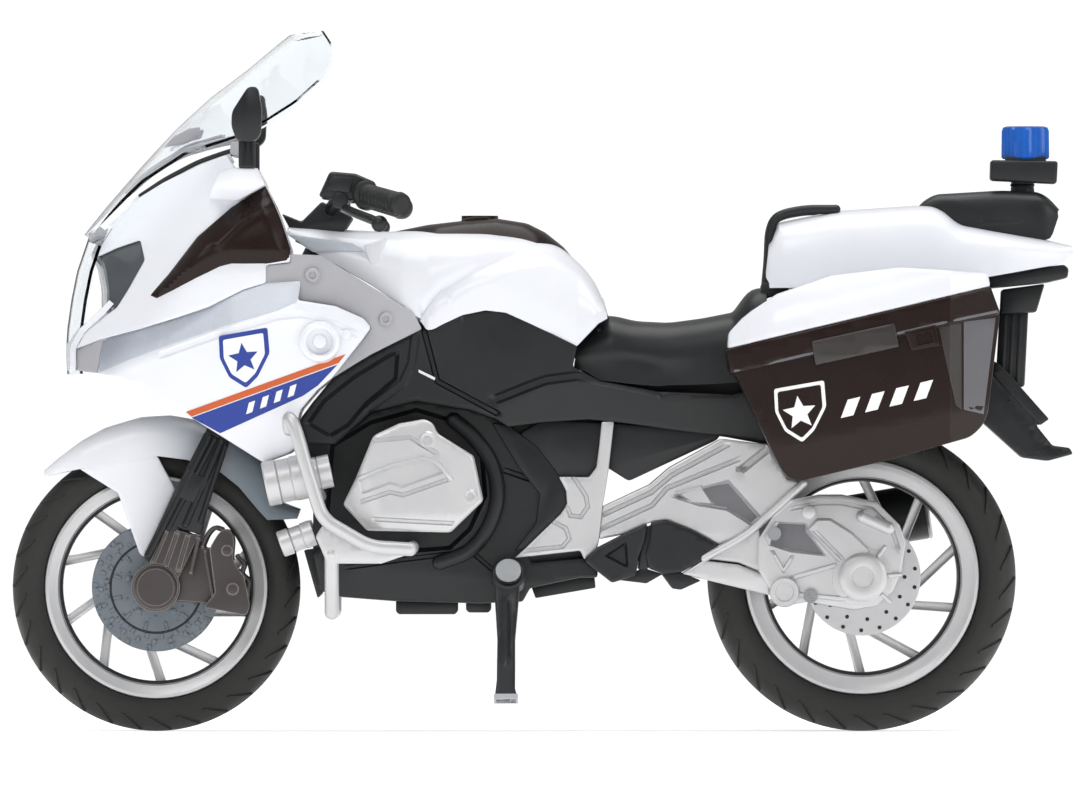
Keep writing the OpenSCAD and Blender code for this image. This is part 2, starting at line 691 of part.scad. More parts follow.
engine_block();
main_frame();
belly_plates();
side_panel_left();
side_panel_right();
nose_fairing();
side_fairing_left();
side_fairing_right();
inner_panels();
winglets();
headlight_cover();
headlight_lens();
windshield();
mirrors();
tank_cover();
tank_pad();
filler_cap();
seat();
cylinder_covers();
crash_bars();
fog_lamps();
footrest_plates();
heel_guards();
subframe();
swing_arm();
drive_housing();
drive_cover();
cover_screws();
muffler();
exhaust_pipe();
pannier_left();
pannier_right();
pannier_lid_left();
pannier_lid_right();
tail_box();
grab_rail();
radio_box();
beacon_stand();
beacon_lens();
rear_rack();
rear_mudguard();
stand_bolt();
steering_stem();
fork_yokes();
fork_legs();
front_axle();
calipers();
front_fender();
handlebar();
grips();
front_rim();
front_tyre();
front_discs();
rear_rim();
rear_tyre();
rear_disc();
rear_axle();
spring_barrel();
mainspring();
side_stand();
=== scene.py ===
import json
import math

import bmesh
import bpy
from mathutils import Matrix, Vector


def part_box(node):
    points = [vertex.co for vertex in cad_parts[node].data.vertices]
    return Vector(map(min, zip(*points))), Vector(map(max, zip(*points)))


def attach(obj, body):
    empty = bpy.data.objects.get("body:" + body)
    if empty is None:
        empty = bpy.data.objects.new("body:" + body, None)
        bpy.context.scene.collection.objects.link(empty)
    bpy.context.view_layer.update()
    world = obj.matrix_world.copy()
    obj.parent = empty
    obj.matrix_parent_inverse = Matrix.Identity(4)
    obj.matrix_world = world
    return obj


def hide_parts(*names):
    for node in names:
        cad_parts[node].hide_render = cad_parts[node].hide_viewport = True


# A 1:12 toy touring motorcycle, moulded in plastic. Lengths below are in millimetres.
# It faces -X and its left side is -Y. Side outlines are lists of (x, z) on the left side.

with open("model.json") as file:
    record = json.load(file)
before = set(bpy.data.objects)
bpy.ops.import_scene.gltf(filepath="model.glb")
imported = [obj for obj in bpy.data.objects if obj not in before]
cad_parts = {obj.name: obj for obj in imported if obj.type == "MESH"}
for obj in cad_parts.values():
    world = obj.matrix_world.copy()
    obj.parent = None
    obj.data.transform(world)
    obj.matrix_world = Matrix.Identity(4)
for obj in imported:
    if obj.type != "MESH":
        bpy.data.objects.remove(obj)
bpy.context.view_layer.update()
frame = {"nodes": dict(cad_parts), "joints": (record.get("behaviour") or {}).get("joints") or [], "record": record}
MM = 0.001


def middle_of(node):
    """Centre of a CAD node's box, in millimetres."""
    low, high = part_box(node)
    return (Vector(low) + Vector(high)) / 2 / MM


FRONT = middle_of("front_tyre")
REAR = middle_of("rear_tyre")
JOINTS = {joint["name"]: joint for joint in frame["joints"]}
STEER_FOOT = Vector(JOINTS["steering"]["pos_m"]) / MM
RAKE = math.asin(JOINTS["steering"]["axis"][0])
STAND_PIVOT = Vector(JOINTS["side_stand_fold"]["pos_m"]) / MM
SPLAY = math.asin(JOINTS["side_stand_fold"]["axis"][2])
IN_FORK = Matrix.Translation(STEER_FOOT) @ Matrix.Rotation(RAKE, 4, "Y")
IN_STAND = Matrix.Translation(STAND_PIVOT) @ Matrix.Rotation(-SPLAY, 4, "X")
FORK_OFFSET = 3.5
FORK_HALF = 8.9

# Camera, light and floor

VIEW_DISTANCE = 4000
VIEW_WIDTH = 188.5
EYE = Vector((-0.5, -VIEW_DISTANCE, 45))
FRAME_MIDDLE = 58.1
SENSOR = 36
# Half the floor's side, in metres
FLOOR_HALF = 1.6


def make_camera():
    """Side camera from far off, so that the view is almost without perspective."""
    lens = bpy.data.cameras.new("side_view")
    lens.sensor_width = SENSOR
    lens.lens = SENSOR * VIEW_DISTANCE / VIEW_WIDTH
    lens.shift_y = (FRAME_MIDDLE - EYE.z) / VIEW_WIDTH
    lens.clip_end = 20
    camera = bpy.data.objects.new("side_view", lens)
    camera.location = EYE * MM
    camera.rotation_euler = (math.radians(90), 0, 0)
    bpy.context.scene.collection.objects.link(camera)
    bpy.context.scene.camera = camera


def softbox(name, place, aim, width, height, watts):
    """Large soft lamp at a place, turned to what it lights."""
    lamp = bpy.data.lights.new(name, "AREA")
    lamp.shape = "RECTANGLE"
    lamp.size = width * MM
    lamp.size_y = height * MM
    lamp.energy = watts
    made = bpy.data.objects.new(name, lamp)
    made.location = Vector(place) * MM
    made.rotation_euler = (Vector(aim) - Vector(place)).to_track_quat("-Z", "Y").to_euler()
    bpy.context.scene.collection.objects.link(made)


# Materials


def tone(text):
    """Linear colour of an sRGB hex value."""
    parts = [int(text[i:i + 2], 16) / 255 for i in (1, 3, 5)]
    return [p / 12.92 if p <= 0.04045 else ((p + 0.055) / 1.055) ** 2.4 for p in parts] + [1]


def add(tree, kind, values=None, links=None, **settings):
    """One shader node with its settings, its socket values and its links."""
    made = tree.nodes.new("ShaderNode" + kind)
    for name, value in settings.items():
        setattr(made, name, value)
    for name, value in (values or {}).items():
        made.inputs[name].default_value = value
    for name, source in (links or {}).items():
        tree.links.new(source, made.inputs[name])
    return made


def finish_of(name, dark, light, rough, patch_mm, grain_mm, grain_height, edge_wear_and_highlight=None, edge_wear_and_highlight_share=0.0,
              spots=None, fade=None, **shader):
    """A surface with uneven tone, uneven gloss, a fine grain, and edges turned to another tone: rubbed on most
    finishes, a painted highlight on the brown castings.

    rough is the lowest and highest roughness, patch_mm the size of the uneven patches, grain_mm the
    size of the grain and grain_height its height. spots adds round marks: (tone, spacing, share), and
    fade a second tone that comes in between two places along X: (tone, from, to)."""
    material = bpy.data.materials.new(name)
    material.use_nodes = True
    tree = material.node_tree
    shell = tree.nodes["Principled BSDF"]
    place = add(tree, "TexCoord").outputs["Object"]
    patches = add(tree, "TexNoise", {"Scale": 1 / (patch_mm * MM), "Detail": 4.0, "Roughness": 0.6},
                  {"Vector": place})
    grain = add(tree, "TexNoise", {"Scale": 1 / (grain_mm * MM), "Detail": 2.0}, {"Vector": place})
    skin = mixed(tree, patches.outputs["Fac"], tone(dark), tone(light))
    if spots:
        cells = add(tree, "TexVoronoi", {"Scale": 1 / (spots[1] * MM)}, {"Vector": place})
        edge = add(tree, "MapRange", {"From Min": spots[2] - 0.06, "From Max": spots[2] + 0.06,
                                      "To Min": 1.0, "To Max": 0.0},
                   {"Value": cells.outputs["Distance"]})
        skin = mixed(tree, edge.outputs["Result"], skin, tone(spots[0]))
    if fade:
        x = add(tree, "SeparateXYZ", links={"Vector": place}).outputs["X"]
        share = add(tree, "MapRange", {"From Min": fade[1] * MM, "From Max": fade[2] * MM}, {"Value": x},
                    interpolation_type="SMOOTHSTEP")
        skin = mixed(tree, share.outputs["Result"], skin, tone(fade[0]))
    if edge_wear_and_highlight:
        skin = mixed(tree, edge_mask(tree, edge_wear_and_highlight_share), skin, tone(edge_wear_and_highlight))
    gloss = add(tree, "MapRange", {"From Min": 0.3, "From Max": 0.7, "To Min": rough[0],
                                   "To Max": rough[1]},
                {"Value": patches.outputs["Fac"]})
    bump = add(tree, "Bump", {"Strength": 1.0, "Distance": grain_height * MM},
               {"Height": grain.outputs["Fac"]})
    tree.links.new(skin, shell.inputs["Base Color"])
    tree.links.new(gloss.outputs["Result"], shell.inputs["Roughness"])
    tree.links.new(bump.outputs["Normal"], shell.inputs["Normal"])
    for socket, value in shader.items():
        shell.inputs[socket.replace("_", " ")].default_value = value
    return material


def mixed(tree, factor, first, second):
    """The first colour with the second laid over it where the factor is high."""
    blend = add(tree, "Mix", data_type="RGBA")
    pins = [socket for socket in blend.inputs if socket.type == "RGBA"]
    amount = [socket for socket in blend.inputs if socket.type == "VALUE"][0]
    tree.links.new(factor, amount)
    if isinstance(first, list):
        pins[0].default_value = first
    else:
        tree.links.new(first, pins[0])
    pins[1].default_value = second
    return [socket for socket in blend.outputs if socket.type == "RGBA"][0]


def edge_mask(tree, amount):
    """High where the shape turns over an edge: rubbed on most finishes, a painted highlight on the brown castings.
    """
    round_over = add(tree, "Bevel", {"Radius": 0.25 * MM}, samples=4)
    flat = add(tree, "NewGeometry")
    turn = add(tree, "VectorMath", links={0: round_over.outputs["Normal"], 1: flat.outputs["Normal"]},
               operation="DOT_PRODUCT")
    return add(tree, "MapRange", {"From Min": 0.995, "From Max": 0.9, "To Min": 0.0, "To Max": amount},
               {"Value": turn.outputs["Value"]}).outputs["Result"]


FINISH = {
    # ABS moulded in a polished tool: cool white, a wet gloss with the slightest orange peel
    "white_plastic": finish_of("abs_white_polished", "#e3e5ec", "#edeff3", (0.16, 0.24), 14, 0.9, 0.006),
    # ABS moulded in a blasted tool: even light grey with a soft sheen
    "grey_plastic": finish_of("abs_grey_satin", "#a6a6ab", "#b2b2b6", (0.36, 0.46), 9, 0.35, 0.012),
    # ABS moulded in a fine spark-eroded tool: charcoal black, low sheen, edges rubbed a little lighter
    "black_plastic": finish_of("abs_black_satin", "#151618", "#1f2123", (0.34, 0.46), 7, 0.3, 0.014,
                               "#3a3d41", 0.5, Specular_IOR_Level=0.4),
    # ABS, dark brown, half gloss: warm black with lighter rubbed edges
    "brown_plastic": finish_of("abs_brown_half_gloss", "#190b08", "#21110d", (0.24, 0.34), 8, 0.4, 0.01,
                               "#4c3f39", 0.5, Specular_IOR_Level=0.25),
    # Polystyrene, clear, polished: colourless. It bends light little, so that thin sheets stay clear
    "clear_plastic": finish_of("polystyrene_clear_polished", "#f3f7fa", "#fafcfd", (0.01, 0.04), 10, 1.5,
                               0.002, Transmission_Weight=1.0, IOR=1.22),
    # Polystyrene, smoked and backed with dark paint: deep grey with a hard gloss
    "smoked_plastic": finish_of("polystyrene_smoked", "#3a3e42", "#5b6064", (0.08, 0.16), 12, 1.0, 0.004),
    # Silver paint sprayed on plastic: pale grey, fine flake, a broad soft sheen
    "silver_paint": finish_of("silver_paint_sprayed", "#c2c2c5", "#cecece", (0.32, 0.42), 6, 0.22, 0.012,
                              "#e0e0e0", 0.5, Metallic=0.45),
    # Mild steel, turned and zinc plated: bright grey with fine uneven tone
    "steel": finish_of("steel_turned_zinc", "#8f9194", "#a7a9ab", (0.26, 0.4), 4, 0.2, 0.01, Metallic=1.0),
    # Brake discs stamped and painted blue-grey, speckled with darker grit
    "disc_metal": finish_of("disc_paint_speckled", "#687078", "#7b838a", (0.4, 0.55), 2.5, 0.3, 0.02,
                            spots=("#555b62", 1.1, 0.22), Metallic=0.3),
    # Polystyrene tinted blue: saturated, glows where light passes
    "blue_clear": finish_of("polystyrene_blue_tinted", "#1656b8", "#1f6fd2", (0.05, 0.12), 5, 0.8, 0.004,
                            Transmission_Weight=0.25, IOR=1.45),
    # Vulcanised rubber: grey-black, dull, with a dusty grain
    "tyre_rubber": finish_of("rubber_tyre_moulded", "#191a18", "#262724", (0.55, 0.72), 6, 0.35, 0.03,
                             "#3a3b38", 0.35),
    # Soft PVC, moulded: deep black and dull
    "soft_black": finish_of("pvc_grip_moulded", "#101112", "#191a1b", (0.5, 0.65), 5, 0.3, 0.02),
    # Brass, cut: warm yellow metal with a soft shine
    "brass": finish_of("brass_cut", "#b08d3c", "#c9a650", (0.25, 0.4), 4, 0.2, 0.01, Metallic=1.0),
    # Spring steel, blued by heat: dark blue-grey with a metal shine
    "spring_steel": finish_of("spring_steel_blued", "#44546a", "#5d6d80", (0.3, 0.42), 3, 0.2, 0.01,
                              Metallic=1.0),
}
# Inks, pad printed: flat colour with a slight skin, laid over the plastic
INK_BLUE = finish_of("ink_blue_pad_printed", "#052c8c", "#0a3698", (0.26, 0.36), 5, 0.3, 0.006)
INK_ORANGE = finish_of("ink_orange_pad_printed", "#c24f0c", "#cd5b14", (0.26, 0.36), 5, 0.3, 0.006)
INK_WHITE = finish_of("ink_white_pad_printed", "#eceded", "#f6f6f6", (0.26, 0.36), 5, 0.3, 0.006)
# The front mudguard: the same white ABS with a blue-grey painted shade that comes in over its rear half
FENDER_WHITE_PAINTED_SHADE = finish_of("abs_white_painted_shade_blue_grey", "#e6e8ee", "#eff0f4", (0.18, 0.28), 14, 0.9, 0.006,
                         fade=("#7d8890", -73, -50))
# Recesses in the silver parts: painted shade, a duller and darker grey laid on their floors
SILVER_PAINTED_SHADE = finish_of("silver_painted_shade_in_recess", "#6c6c70", "#7c7c80", (0.42, 0.55), 5, 0.25, 0.012,
                        Metallic=0.3)
# The tank's front cheeks and the fairing's shoulder: white ABS coloured a cool pale grey as painted shade, even
# half gloss
PAINTED_SHADE_GREY = finish_of("abs_white_painted_shade_grey", "#c3c9d3", "#ced3db", (0.22, 0.32), 10, 0.8, 0.006)
# Brown paint on cast zinc, for the calipers, fork feet and hub caps: low sheen, pale at its edges as a painted
# highlight
BROWN_CAST = finish_of("casting_paint_brown", "#3a3331", "#464040", (0.38, 0.5), 5, 0.35, 0.014, "#cfcac4",
                       0.55)
# Handles and the cases' hind facets: a browner, half-gloss black with pale rubbed edges; on the hind facets this
# lighter brown is painted light
HANDLE_BROWN_AND_LIT_FACET = finish_of("abs_brown_handle_and_lit_facet", "#2b2624", "#353030", (0.3, 0.4), 6, 0.35, 0.01, "#5a524c",
                         0.5)
# The side cases' rear faces and trim: the same brown lightened to grey, which on the rear faces is painted light
CASE_GREY_LIT_REAR = finish_of("abs_brown_grey_lit_rear", "#55555a", "#616166", (0.32, 0.42), 8, 0.4, 0.01, "#77777b",
                      0.4)
# Studio paper: matt near-white, lit a little from itself so that it runs into the white room
PAPER = finish_of("studio_paper_matt", "#fbfbfb", "#fdfdfd", (0.9, 0.95), 300, 2.0, 0.01,
                  Emission_Color=(1, 1, 1, 1), Emission_Strength=0.54)


def stage():
    """Camera, lamps, white room and paper floor."""
    make_camera()
    softbox("key_box", (-420, -900, 900), (0, 0, 60), 700, 500, 3.3)
    softbox("top_box", (60, 60, 900), (0, 0, 40), 900, 700, 5.5)
    softbox("tail_box", (900, -420, 420), (20, 0, 60), 500, 500, 1.8)
    world = bpy.data.worlds.new("white_room")
    bpy.context.scene.world = world
    world.use_nodes = True
    tree = world.node_tree
    path = add(tree, "LightPath")
    seen = add(tree, "Math", links={0: path.outputs["Is Camera Ray"],
                                    1: path.outputs["Is Transmission Ray"]},
               operation="MAXIMUM")
    level = add(tree, "MapRange", {"To Min": 0.42, "To Max": 1.05}, {"Value": seen.outputs["Value"]})
    tree.links.new(level.outputs["Result"], tree.nodes["Background"].inputs["Strength"])
    tree.nodes["Background"].inputs["Color"].default_value = (1, 1, 1, 1)
    bpy.context.scene.view_settings.view_transform = "Standard"
    bm = bmesh.new()
    bmesh.ops.create_grid(bm, x_segments=2, y_segments=2, size=FLOOR_HALF)
    mesh = bpy.data.meshes.new("floor")
    bm.to_mesh(mesh)
    bm.free()
    floor = bpy.data.objects.new("floor", mesh)
    mesh.materials.append(PAPER)
    bpy.context.scene.collection.objects.link(floor)


# Ways of shaping

# Room a panel wall starts with before it is drawn out, and the depth counted as its outer skin
WALL_ROOM = 12.0
OUTER_SKIN = 0.4
# Share of a channel's half width that is flat floor, and how steeply its walls rise from there
CHANNEL_FLOOR = 0.45
CHANNEL_RISE = 1.82
# Points closer than this are one point, and points this near a cut lie on it
MERGE = 0.002
CUT_SLACK = 0.0005
# Edges that turn more than this many degrees are drawn sharp
SHARP_TURN = 29


def joined(*parts):
    """One bmesh of several, which are used up."""
    whole = bmesh.new()
    for part in parts:
        mesh = bpy.data.meshes.new("part")
        part.to_mesh(mesh)
        part.free()
        whole.from_mesh(mesh)
        bpy.data.meshes.remove(mesh)
    return whole


def both_sides(bm):
    """The same thing with its mirror image on the right side."""
    made = bmesh.ops.duplicate(bm, geom=bm.verts[:] + bm.edges[:] + bm.faces[:])["geom"]
    verts = [item for item in made if isinstance(item, bmesh.types.BMVert)]
    bmesh.ops.scale(bm, vec=(1, -1, 1), verts=verts)
    bmesh.ops.reverse_faces(bm, faces=[item for item in made if isinstance(item, bmesh.types.BMFace)])
    return bm


def mirrored(bm):
    """The same thing on the right side only."""
    bmesh.ops.scale(bm, vec=(1, -1, 1), verts=bm.verts)
    bmesh.ops.reverse_faces(bm, faces=bm.faces)
    return bm


def unchanged(bm):
    return bm


def moved(bm, matrix):
    bmesh.ops.transform(bm, matrix=matrix, verts=bm.verts)
    return bm


def add_piece(name, bm, body, slot, stands_for=(), finish=None, smooth=SHARP_TURN):
    bmesh.ops.remove_doubles(bm, verts=bm.verts, dist=MERGE)
    bmesh.ops.recalc_face_normals(bm, faces=bm.faces)
    bmesh.ops.scale(bm, vec=(MM, MM, MM), verts=bm.verts)
    mesh = bpy.data.meshes.new(name)
    bm.to_mesh(mesh)
    bm.free()
    mesh.shade_smooth()
    mesh.set_sharp_from_angle(angle=math.radians(smooth))
    mesh.materials.append(finish or FINISH[slot])
    made = bpy.data.objects.new(name, mesh)
    bpy.context.scene.collection.objects.link(made)
    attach(made, body)
    if stands_for:
        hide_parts(*stands_for)
    return made


def soften(bm, width, steps=2, sharp=20):
    """Rounds every edge that turns more than sharp degrees."""
    edges = [e for e in bm.edges if e.is_manifold and e.calc_face_angle() > math.radians(sharp)]
    bmesh.ops.bevel(bm, geom=edges, offset=width, segments=steps, profile=0.5, affect="EDGES",
                    material=-1, clamp_overlap=True)
    return bm


def bent(points, radius, steps=4, closed=True):
    """The same line with its corners rounded."""
    corners = [Vector(p) for p in points]
    count = len(corners)
    line = []
    for i, here in enumerate(corners):
        if not closed and i in (0, count - 1):
            line.append(here)
            continue
        back = corners[i - 1] - here
        ahead = corners[(i + 1) % count] - here
        start = here + back.normalized() * min(radius, back.length * 0.45)
        end = here + ahead.normalized() * min(radius, ahead.length * 0.45)
        for k in range(steps + 1):
            t = k / steps
            line.append(start * (1 - t) ** 2 + here * 2 * t * (1 - t) + end * t ** 2)
    return line


def plate(points, y0, y1, edge=0.25, steps=2, corner=0.0):
    """Slab with a side outline between two y values, its edges rounded."""
    line = bent(points, corner) if corner else points
    bm = bmesh.new()
    face = bm.faces.new([bm.verts.new((p[0], y0, p[1])) for p in line])
    made = bmesh.ops.extrude_face_region(bm, geom=[face], use_keep_orig=True)["geom"]
    bmesh.ops.translate(bm, vec=(0, y1 - y0, 0),
                        verts=[item for item in made if isinstance(item, bmesh.types.BMVert)])
    bmesh.ops.recalc_face_normals(bm, faces=bm.faces)
    return soften(bm, edge, steps) if edge else bm


def cut_along(bm, point, normal):
    """Cut right across along a plane."""
    bmesh.ops.bisect_plane(bm, geom=bm.verts[:] + bm.edges[:] + bm.faces[:], plane_co=point,
                           plane_no=normal, dist=CUT_SLACK)


def draped(points, depth, thick=1.2, edge=0.3, step=0.9, inner=None, corner=0.0, steps=2, folds=(),
           marks=()):
    """Moulded panel with a side outline, whose outer face lies depth(x, z) left of the middle.

    With inner, the wall goes on to that distance from the middle. folds are lines to cut sharply right
    across; marks are sunk or raised features, each (kind, line, width, deep), cut in with clean edges."""
    height = WALL_ROOM if inner is not None else thick
    bm = plate(points, 0, height, edge, steps, corner)
    bmesh.ops.triangulate(bm, faces=bm.faces)
    xs = [v.co.x for v in bm.verts]
    zs = [v.co.z for v in bm.verts]
    for low, high, axis in ((min(xs), max(xs), 0), (min(zs), max(zs), 2)):
        count = int((high - low) / step)
        for i in range(1, count + 1):
            point = [0, 0, 0]
            normal = [0, 0, 0]
            point[axis] = low + (high - low) * i / (count + 1)
            normal[axis] = 1
            cut_along(bm, point, normal)
    for line in folds:
        for a, b in zip(line, line[1:]):
            cut_along(bm, (a[0], 0, a[1]), (b[1] - a[1], 0, a[0] - b[0]))
    for a, b in mark_edges(marks):
        cut_near(bm, a, b, 1.5 * step)
    for v in bm.verts:
        outer = depth(v.co.x, v.co.z) - mark_depth(v.co.x, v.co.z, marks)
        if inner is None:
            v.co.y -= outer
        else:
            share = min(1, max(0, (v.co.y - edge) / (height - 2 * edge)))
            squeeze = (height - 2 * edge) * share
            v.co.y += (outer - inner - 2 * edge) * share - squeeze - outer
    return bm


def cut_near(bm, a, b, spread):
    """Cut the faces beside one stretch of line, and leave the rest whole."""
    low = (min(a.x, b.x) - spread, min(a.y, b.y) - spread)
    high = (max(a.x, b.x) + spread, max(a.y, b.y) + spread)
    faces = []
    for face in bm.faces:
        at = face.verts[0].co
        if at.y < OUTER_SKIN and low[0] < at.x < high[0] and low[1] < at.z < high[1]:
            middle = face.calc_center_median()
            span = max((v.co - middle).length for v in face.verts)
            if reach(middle.x, middle.z, [a, b]) < span + 0.02:
                faces.append(face)
    edges = {edge for face in faces for edge in face.edges}
    verts = {v for face in faces for v in face.verts}
    if faces:
        bmesh.ops.bisect_plane(bm, geom=sorted(verts, key=lambda v: v.index) + list(edges) + faces,
                               plane_co=(a.x, 0, a.y), plane_no=(b.y - a.y, 0, a.x - b.x), dist=CUT_SLACK)


def mark_edges(marks):
    """The straight stretches a panel is cut along so that its marks keep clean edges."""
    stretches = []
    for kind, line, width, _ in marks:
        path = line if kind == "line" else line + line[:1]
        for a, b in zip(path, path[1:]):
            side = Vector((b[1] - a[1], a[0] - b[0])).normalized()
            middle = (Vector(a) + Vector(b)) / 2 + side * 0.05
            inward = 1 if inside(middle.x, middle.y, line) > 0 else -1
            floor = CHANNEL_FLOOR * width
            offsets = (-width, -floor, floor, width) if kind == "line" else (0, inward * width)
            stretches += [(Vector(a) + side * offset, Vector(b) + side * offset) for offset in offsets]
    return stretches


def mark_depth(x, z, marks):
    """How far the marks go in at a point. "line" is a channel, "field" a recess; below zero stands proud."""
    out = 0
    for kind, line, width, deep in marks:
        if kind == "line":
            share = CHANNEL_RISE * (1 - reach(x, z, line) / width)
        else:
            share = inside(x, z, line) / width
        out += deep * min(1, max(0, share))
    return out


def mapped(columns, rows, place):
    """Sheet whose points come from place(u, v), both from 0 to 1."""
    bm = bmesh.new()
    bmesh.ops.create_grid(bm, x_segments=columns, y_segments=rows, size=0.5)
    for v in bm.verts:
        v.co = Vector(place(v.co.x + 0.5, v.co.y + 0.5))
    return bm


def thickened(bm, thickness):
    """A sheet given a wall."""
    bmesh.ops.recalc_face_normals(bm, faces=bm.faces)
    bmesh.ops.solidify(bm, geom=bm.faces[:], thickness=thickness)
    return bm


def lathe(profile, centre, steps=64, closed=False):
    """Turned shape about a line along Y, from a profile of (radius, y)."""
    bm = bmesh.new()
    verts = [bm.verts.new((r, y, 0)) for r, y in profile]
    pairs = list(zip(verts, verts[1:]))
    if closed:
        pairs.append((verts[-1], verts[0]))
    edges = [bm.edges.new(pair) for pair in pairs]
    bmesh.ops.spin(bm, geom=verts + edges, cent=(0, 0, 0), axis=(0, 1, 0), angle=math.tau,
                   steps=steps, use_merge=True)
    bmesh.ops.remove_doubles(bm, verts=bm.verts, dist=0.001)
    bmesh.ops.translate(bm, vec=(centre[0], 0, centre[-1]), verts=bm.verts)
    return bm


def boss(x, z, radius, y0, y1, lip=0.3, steps=32):
    """Short round post along Y with a rounded end at y0."""
    return lathe([(0, y0), (radius - lip, y0), (radius - lip * 0.3, y0 + lip * 0.3), (radius, y0 + lip),
                  (radius, y1), (0, y1)], (x, z), steps)


def screw_head(x, z, radius, y0, y1):
    """Boss with a ring groove and a sunk middle."""
    return lathe([(0, y0 + 0.35), (radius * 0.45, y0 + 0.35), (radius * 0.5, y0 + 0.05),
                  (radius * 0.62, y0), (radius * 0.8, y0), (radius, y0 + 0.3), (radius, y1), (0, y1)],
                 (x, z), 28)


def tube(points, radius, turn=2.0):
    """Round bar along a line, its bends rounded and its ends closed."""
    curve = bpy.data.curves.new("tube", "CURVE")
    curve.dimensions = "3D"
    curve.bevel_depth = radius
    curve.bevel_resolution = 5
    curve.use_fill_caps = True
    line = bent(points, turn, 6, closed=False)
    spline = curve.splines.new("POLY")
    spline.points.add(len(line) - 1)
    for point, at in zip(spline.points, line):
        point.co = (*at, 1)
    holder = bpy.data.objects.new("tube", curve)
    mesh = bpy.data.meshes.new_from_object(holder)
    bm = bmesh.new()
    bm.from_mesh(mesh)
    bpy.data.objects.remove(holder)
    bpy.data.curves.remove(curve)
    bpy.data.meshes.remove(mesh)
    return bm


def ball(at, radius):
    bm = bmesh.new()
    bmesh.ops.create_uvsphere(bm, u_segments=24, v_segments=14, radius=radius)
    return moved(bm, Matrix.Translation(at))


def bar(points, radius, turn=2.0):
    """Tube with ball ends."""
    return joined(tube(points, radius, turn), ball(points[0], radius), ball(points[-1], radius))


# Ways of measuring


def smaller(a, b, blend=1.0):
    """The smaller of two values, with the fold between them rounded."""
    return (a + b - math.hypot(a - b, blend)) / 2


def above(t, blend=1.0):
    """t where it is over zero, rounded into nothing below."""
    return (t + math.hypot(t, blend)) / 2


def along(points, x):
    """Height of a line of (x, z) at x, by straight stretches."""
    if x <= points[0][0]:
        return points[0][1]
    for (x0, z0), (x1, z1) in zip(points, points[1:]):
        if x <= x1:
            return z0 + (z1 - z0) * (x - x0) / (x1 - x0)
    return points[-1][1]


def smooth_along(points, x):
    """The same line, curved through its points."""
    return sum(along(points, x + shift) for shift in (-1.2, -0.6, 0, 0.6, 1.2)) / 5


def on_line(points, t):
    """Point at a share t of the way along a line."""
    steps = [(Vector(b) - Vector(a)).length for a, b in zip(points, points[1:])]
    rest = t * sum(steps)
    for i, length in enumerate(steps):
        if rest <= length or i == len(steps) - 1:
            return Vector(points[i]).lerp(Vector(points[i + 1]), rest / length)
        rest -= length


def reach(x, z, line):
    """Distance from a point to a line."""
    best = 1e9
    for (ax, az), (bx, bz) in zip(line, line[1:]):
        dx = bx - ax
        dz = bz - az
        t = min(1, max(0, ((x - ax) * dx + (z - az) * dz) / (dx * dx + dz * dz)))
        best = min(best, math.hypot(x - ax - t * dx, z - az - t * dz))
    return best


def inside(x, z, outline):
    """Distance in from an outline's edge, and below zero outside it."""
    crossings = 0
    for (ax, az), (bx, bz) in zip(outline, outline[1:] + outline[:1]):
        if (az > z) != (bz > z) and x < ax + (z - az) * (bx - ax) / (bz - az):
            crossings += 1
    distance = reach(x, z, outline + outline[:1])
    return distance if crossings % 2 else -distance


def groove(x, z, line, width, deep):
    """Depth of a rounded channel along a line."""
    share = min(1, reach(x, z, line) / width)
    return deep * (1 - share * share * (3 - 2 * share))


def polar(centre, radius, degrees):
    """Point (x, z) round a centre."""
    a = math.radians(degrees)
    return (centre[0] + radius * math.cos(a), centre[-1] + radius * math.sin(a))


# Wheels


def tyre(centre, radius, half, bead, notches, lean):
    """Tyre of revolution with slashed notches over its shoulders."""
    side = [(0, 0.74), (0.03, 0.86), (0.1, 0.93), (0.25, 0.985), (0.42, 1.0), (0.57, 0.97), (0.7, 0.9),
            (0.8, 0.8), (0.88, 0.66), (0.94, 0.48), (0.985, 0.26), (1, 0.07)]
    tall = radius - bead
    profile = [(bead + tall * f, -half * w) for f, w in side]
    profile += [(bead + tall * f, half * w) for f, w in reversed(side)]
    around = notches * 8
    bm = lathe(profile, (0, 0, 0), around, closed=True)
    for v in bm.verts:
        share = (math.hypot(v.co.x, v.co.z) - bead) / tall
        if 0.3 < share < 0.97:
            v.co.rotate(Matrix.Rotation(math.radians(lean) * (1 - share), 3, "Y"))
    cut = {0: [], 1: []}
    for face in bm.faces:
        middle = face.calc_center_median()
        share = (math.hypot(middle.x, middle.z) - bead) / tall
        turned = math.atan2(middle.z, middle.x) + math.radians(lean) * (1 - share)
        place = int(turned % math.tau / math.tau * around)
        left = middle.y < 0
        if place % 8 == (0 if left else 4) and 0.62 < share < 0.94:
            cut[left].append(face)
    for faces in cut.values():
        bmesh.ops.inset_region(bm, faces=faces, thickness=0.06, depth=-0.35, use_even_offset=False)
    return moved(bm, Matrix.Translation((centre[0], 0, centre[-1])))


def spoke(hub, tip, swirl, rim_r, inner_r, width, half):
    """Flat spoke with a sunk channel in both faces."""
    outer = Vector(polar(hub, rim_r + 0.4, tip))
    root = Vector(polar(hub, inner_r, tip - swirl))
    run = (root - outer).normalized()
    across = Vector((-run.y, run.x)) * width / 2
    root = outer + run * (rim_r - 3.6)
    bm = plate([outer + across * 1.1, outer - across * 1.1, root - across, root + across], -half, half, 0)
    flat = [face for face in bm.faces if abs(face.normal.y) > 0.9]
    bmesh.ops.inset_individual(bm, faces=flat, thickness=width * 0.26, depth=-0.35, use_even_offset=True)
    return soften(bm, 0.12, 1, 40)


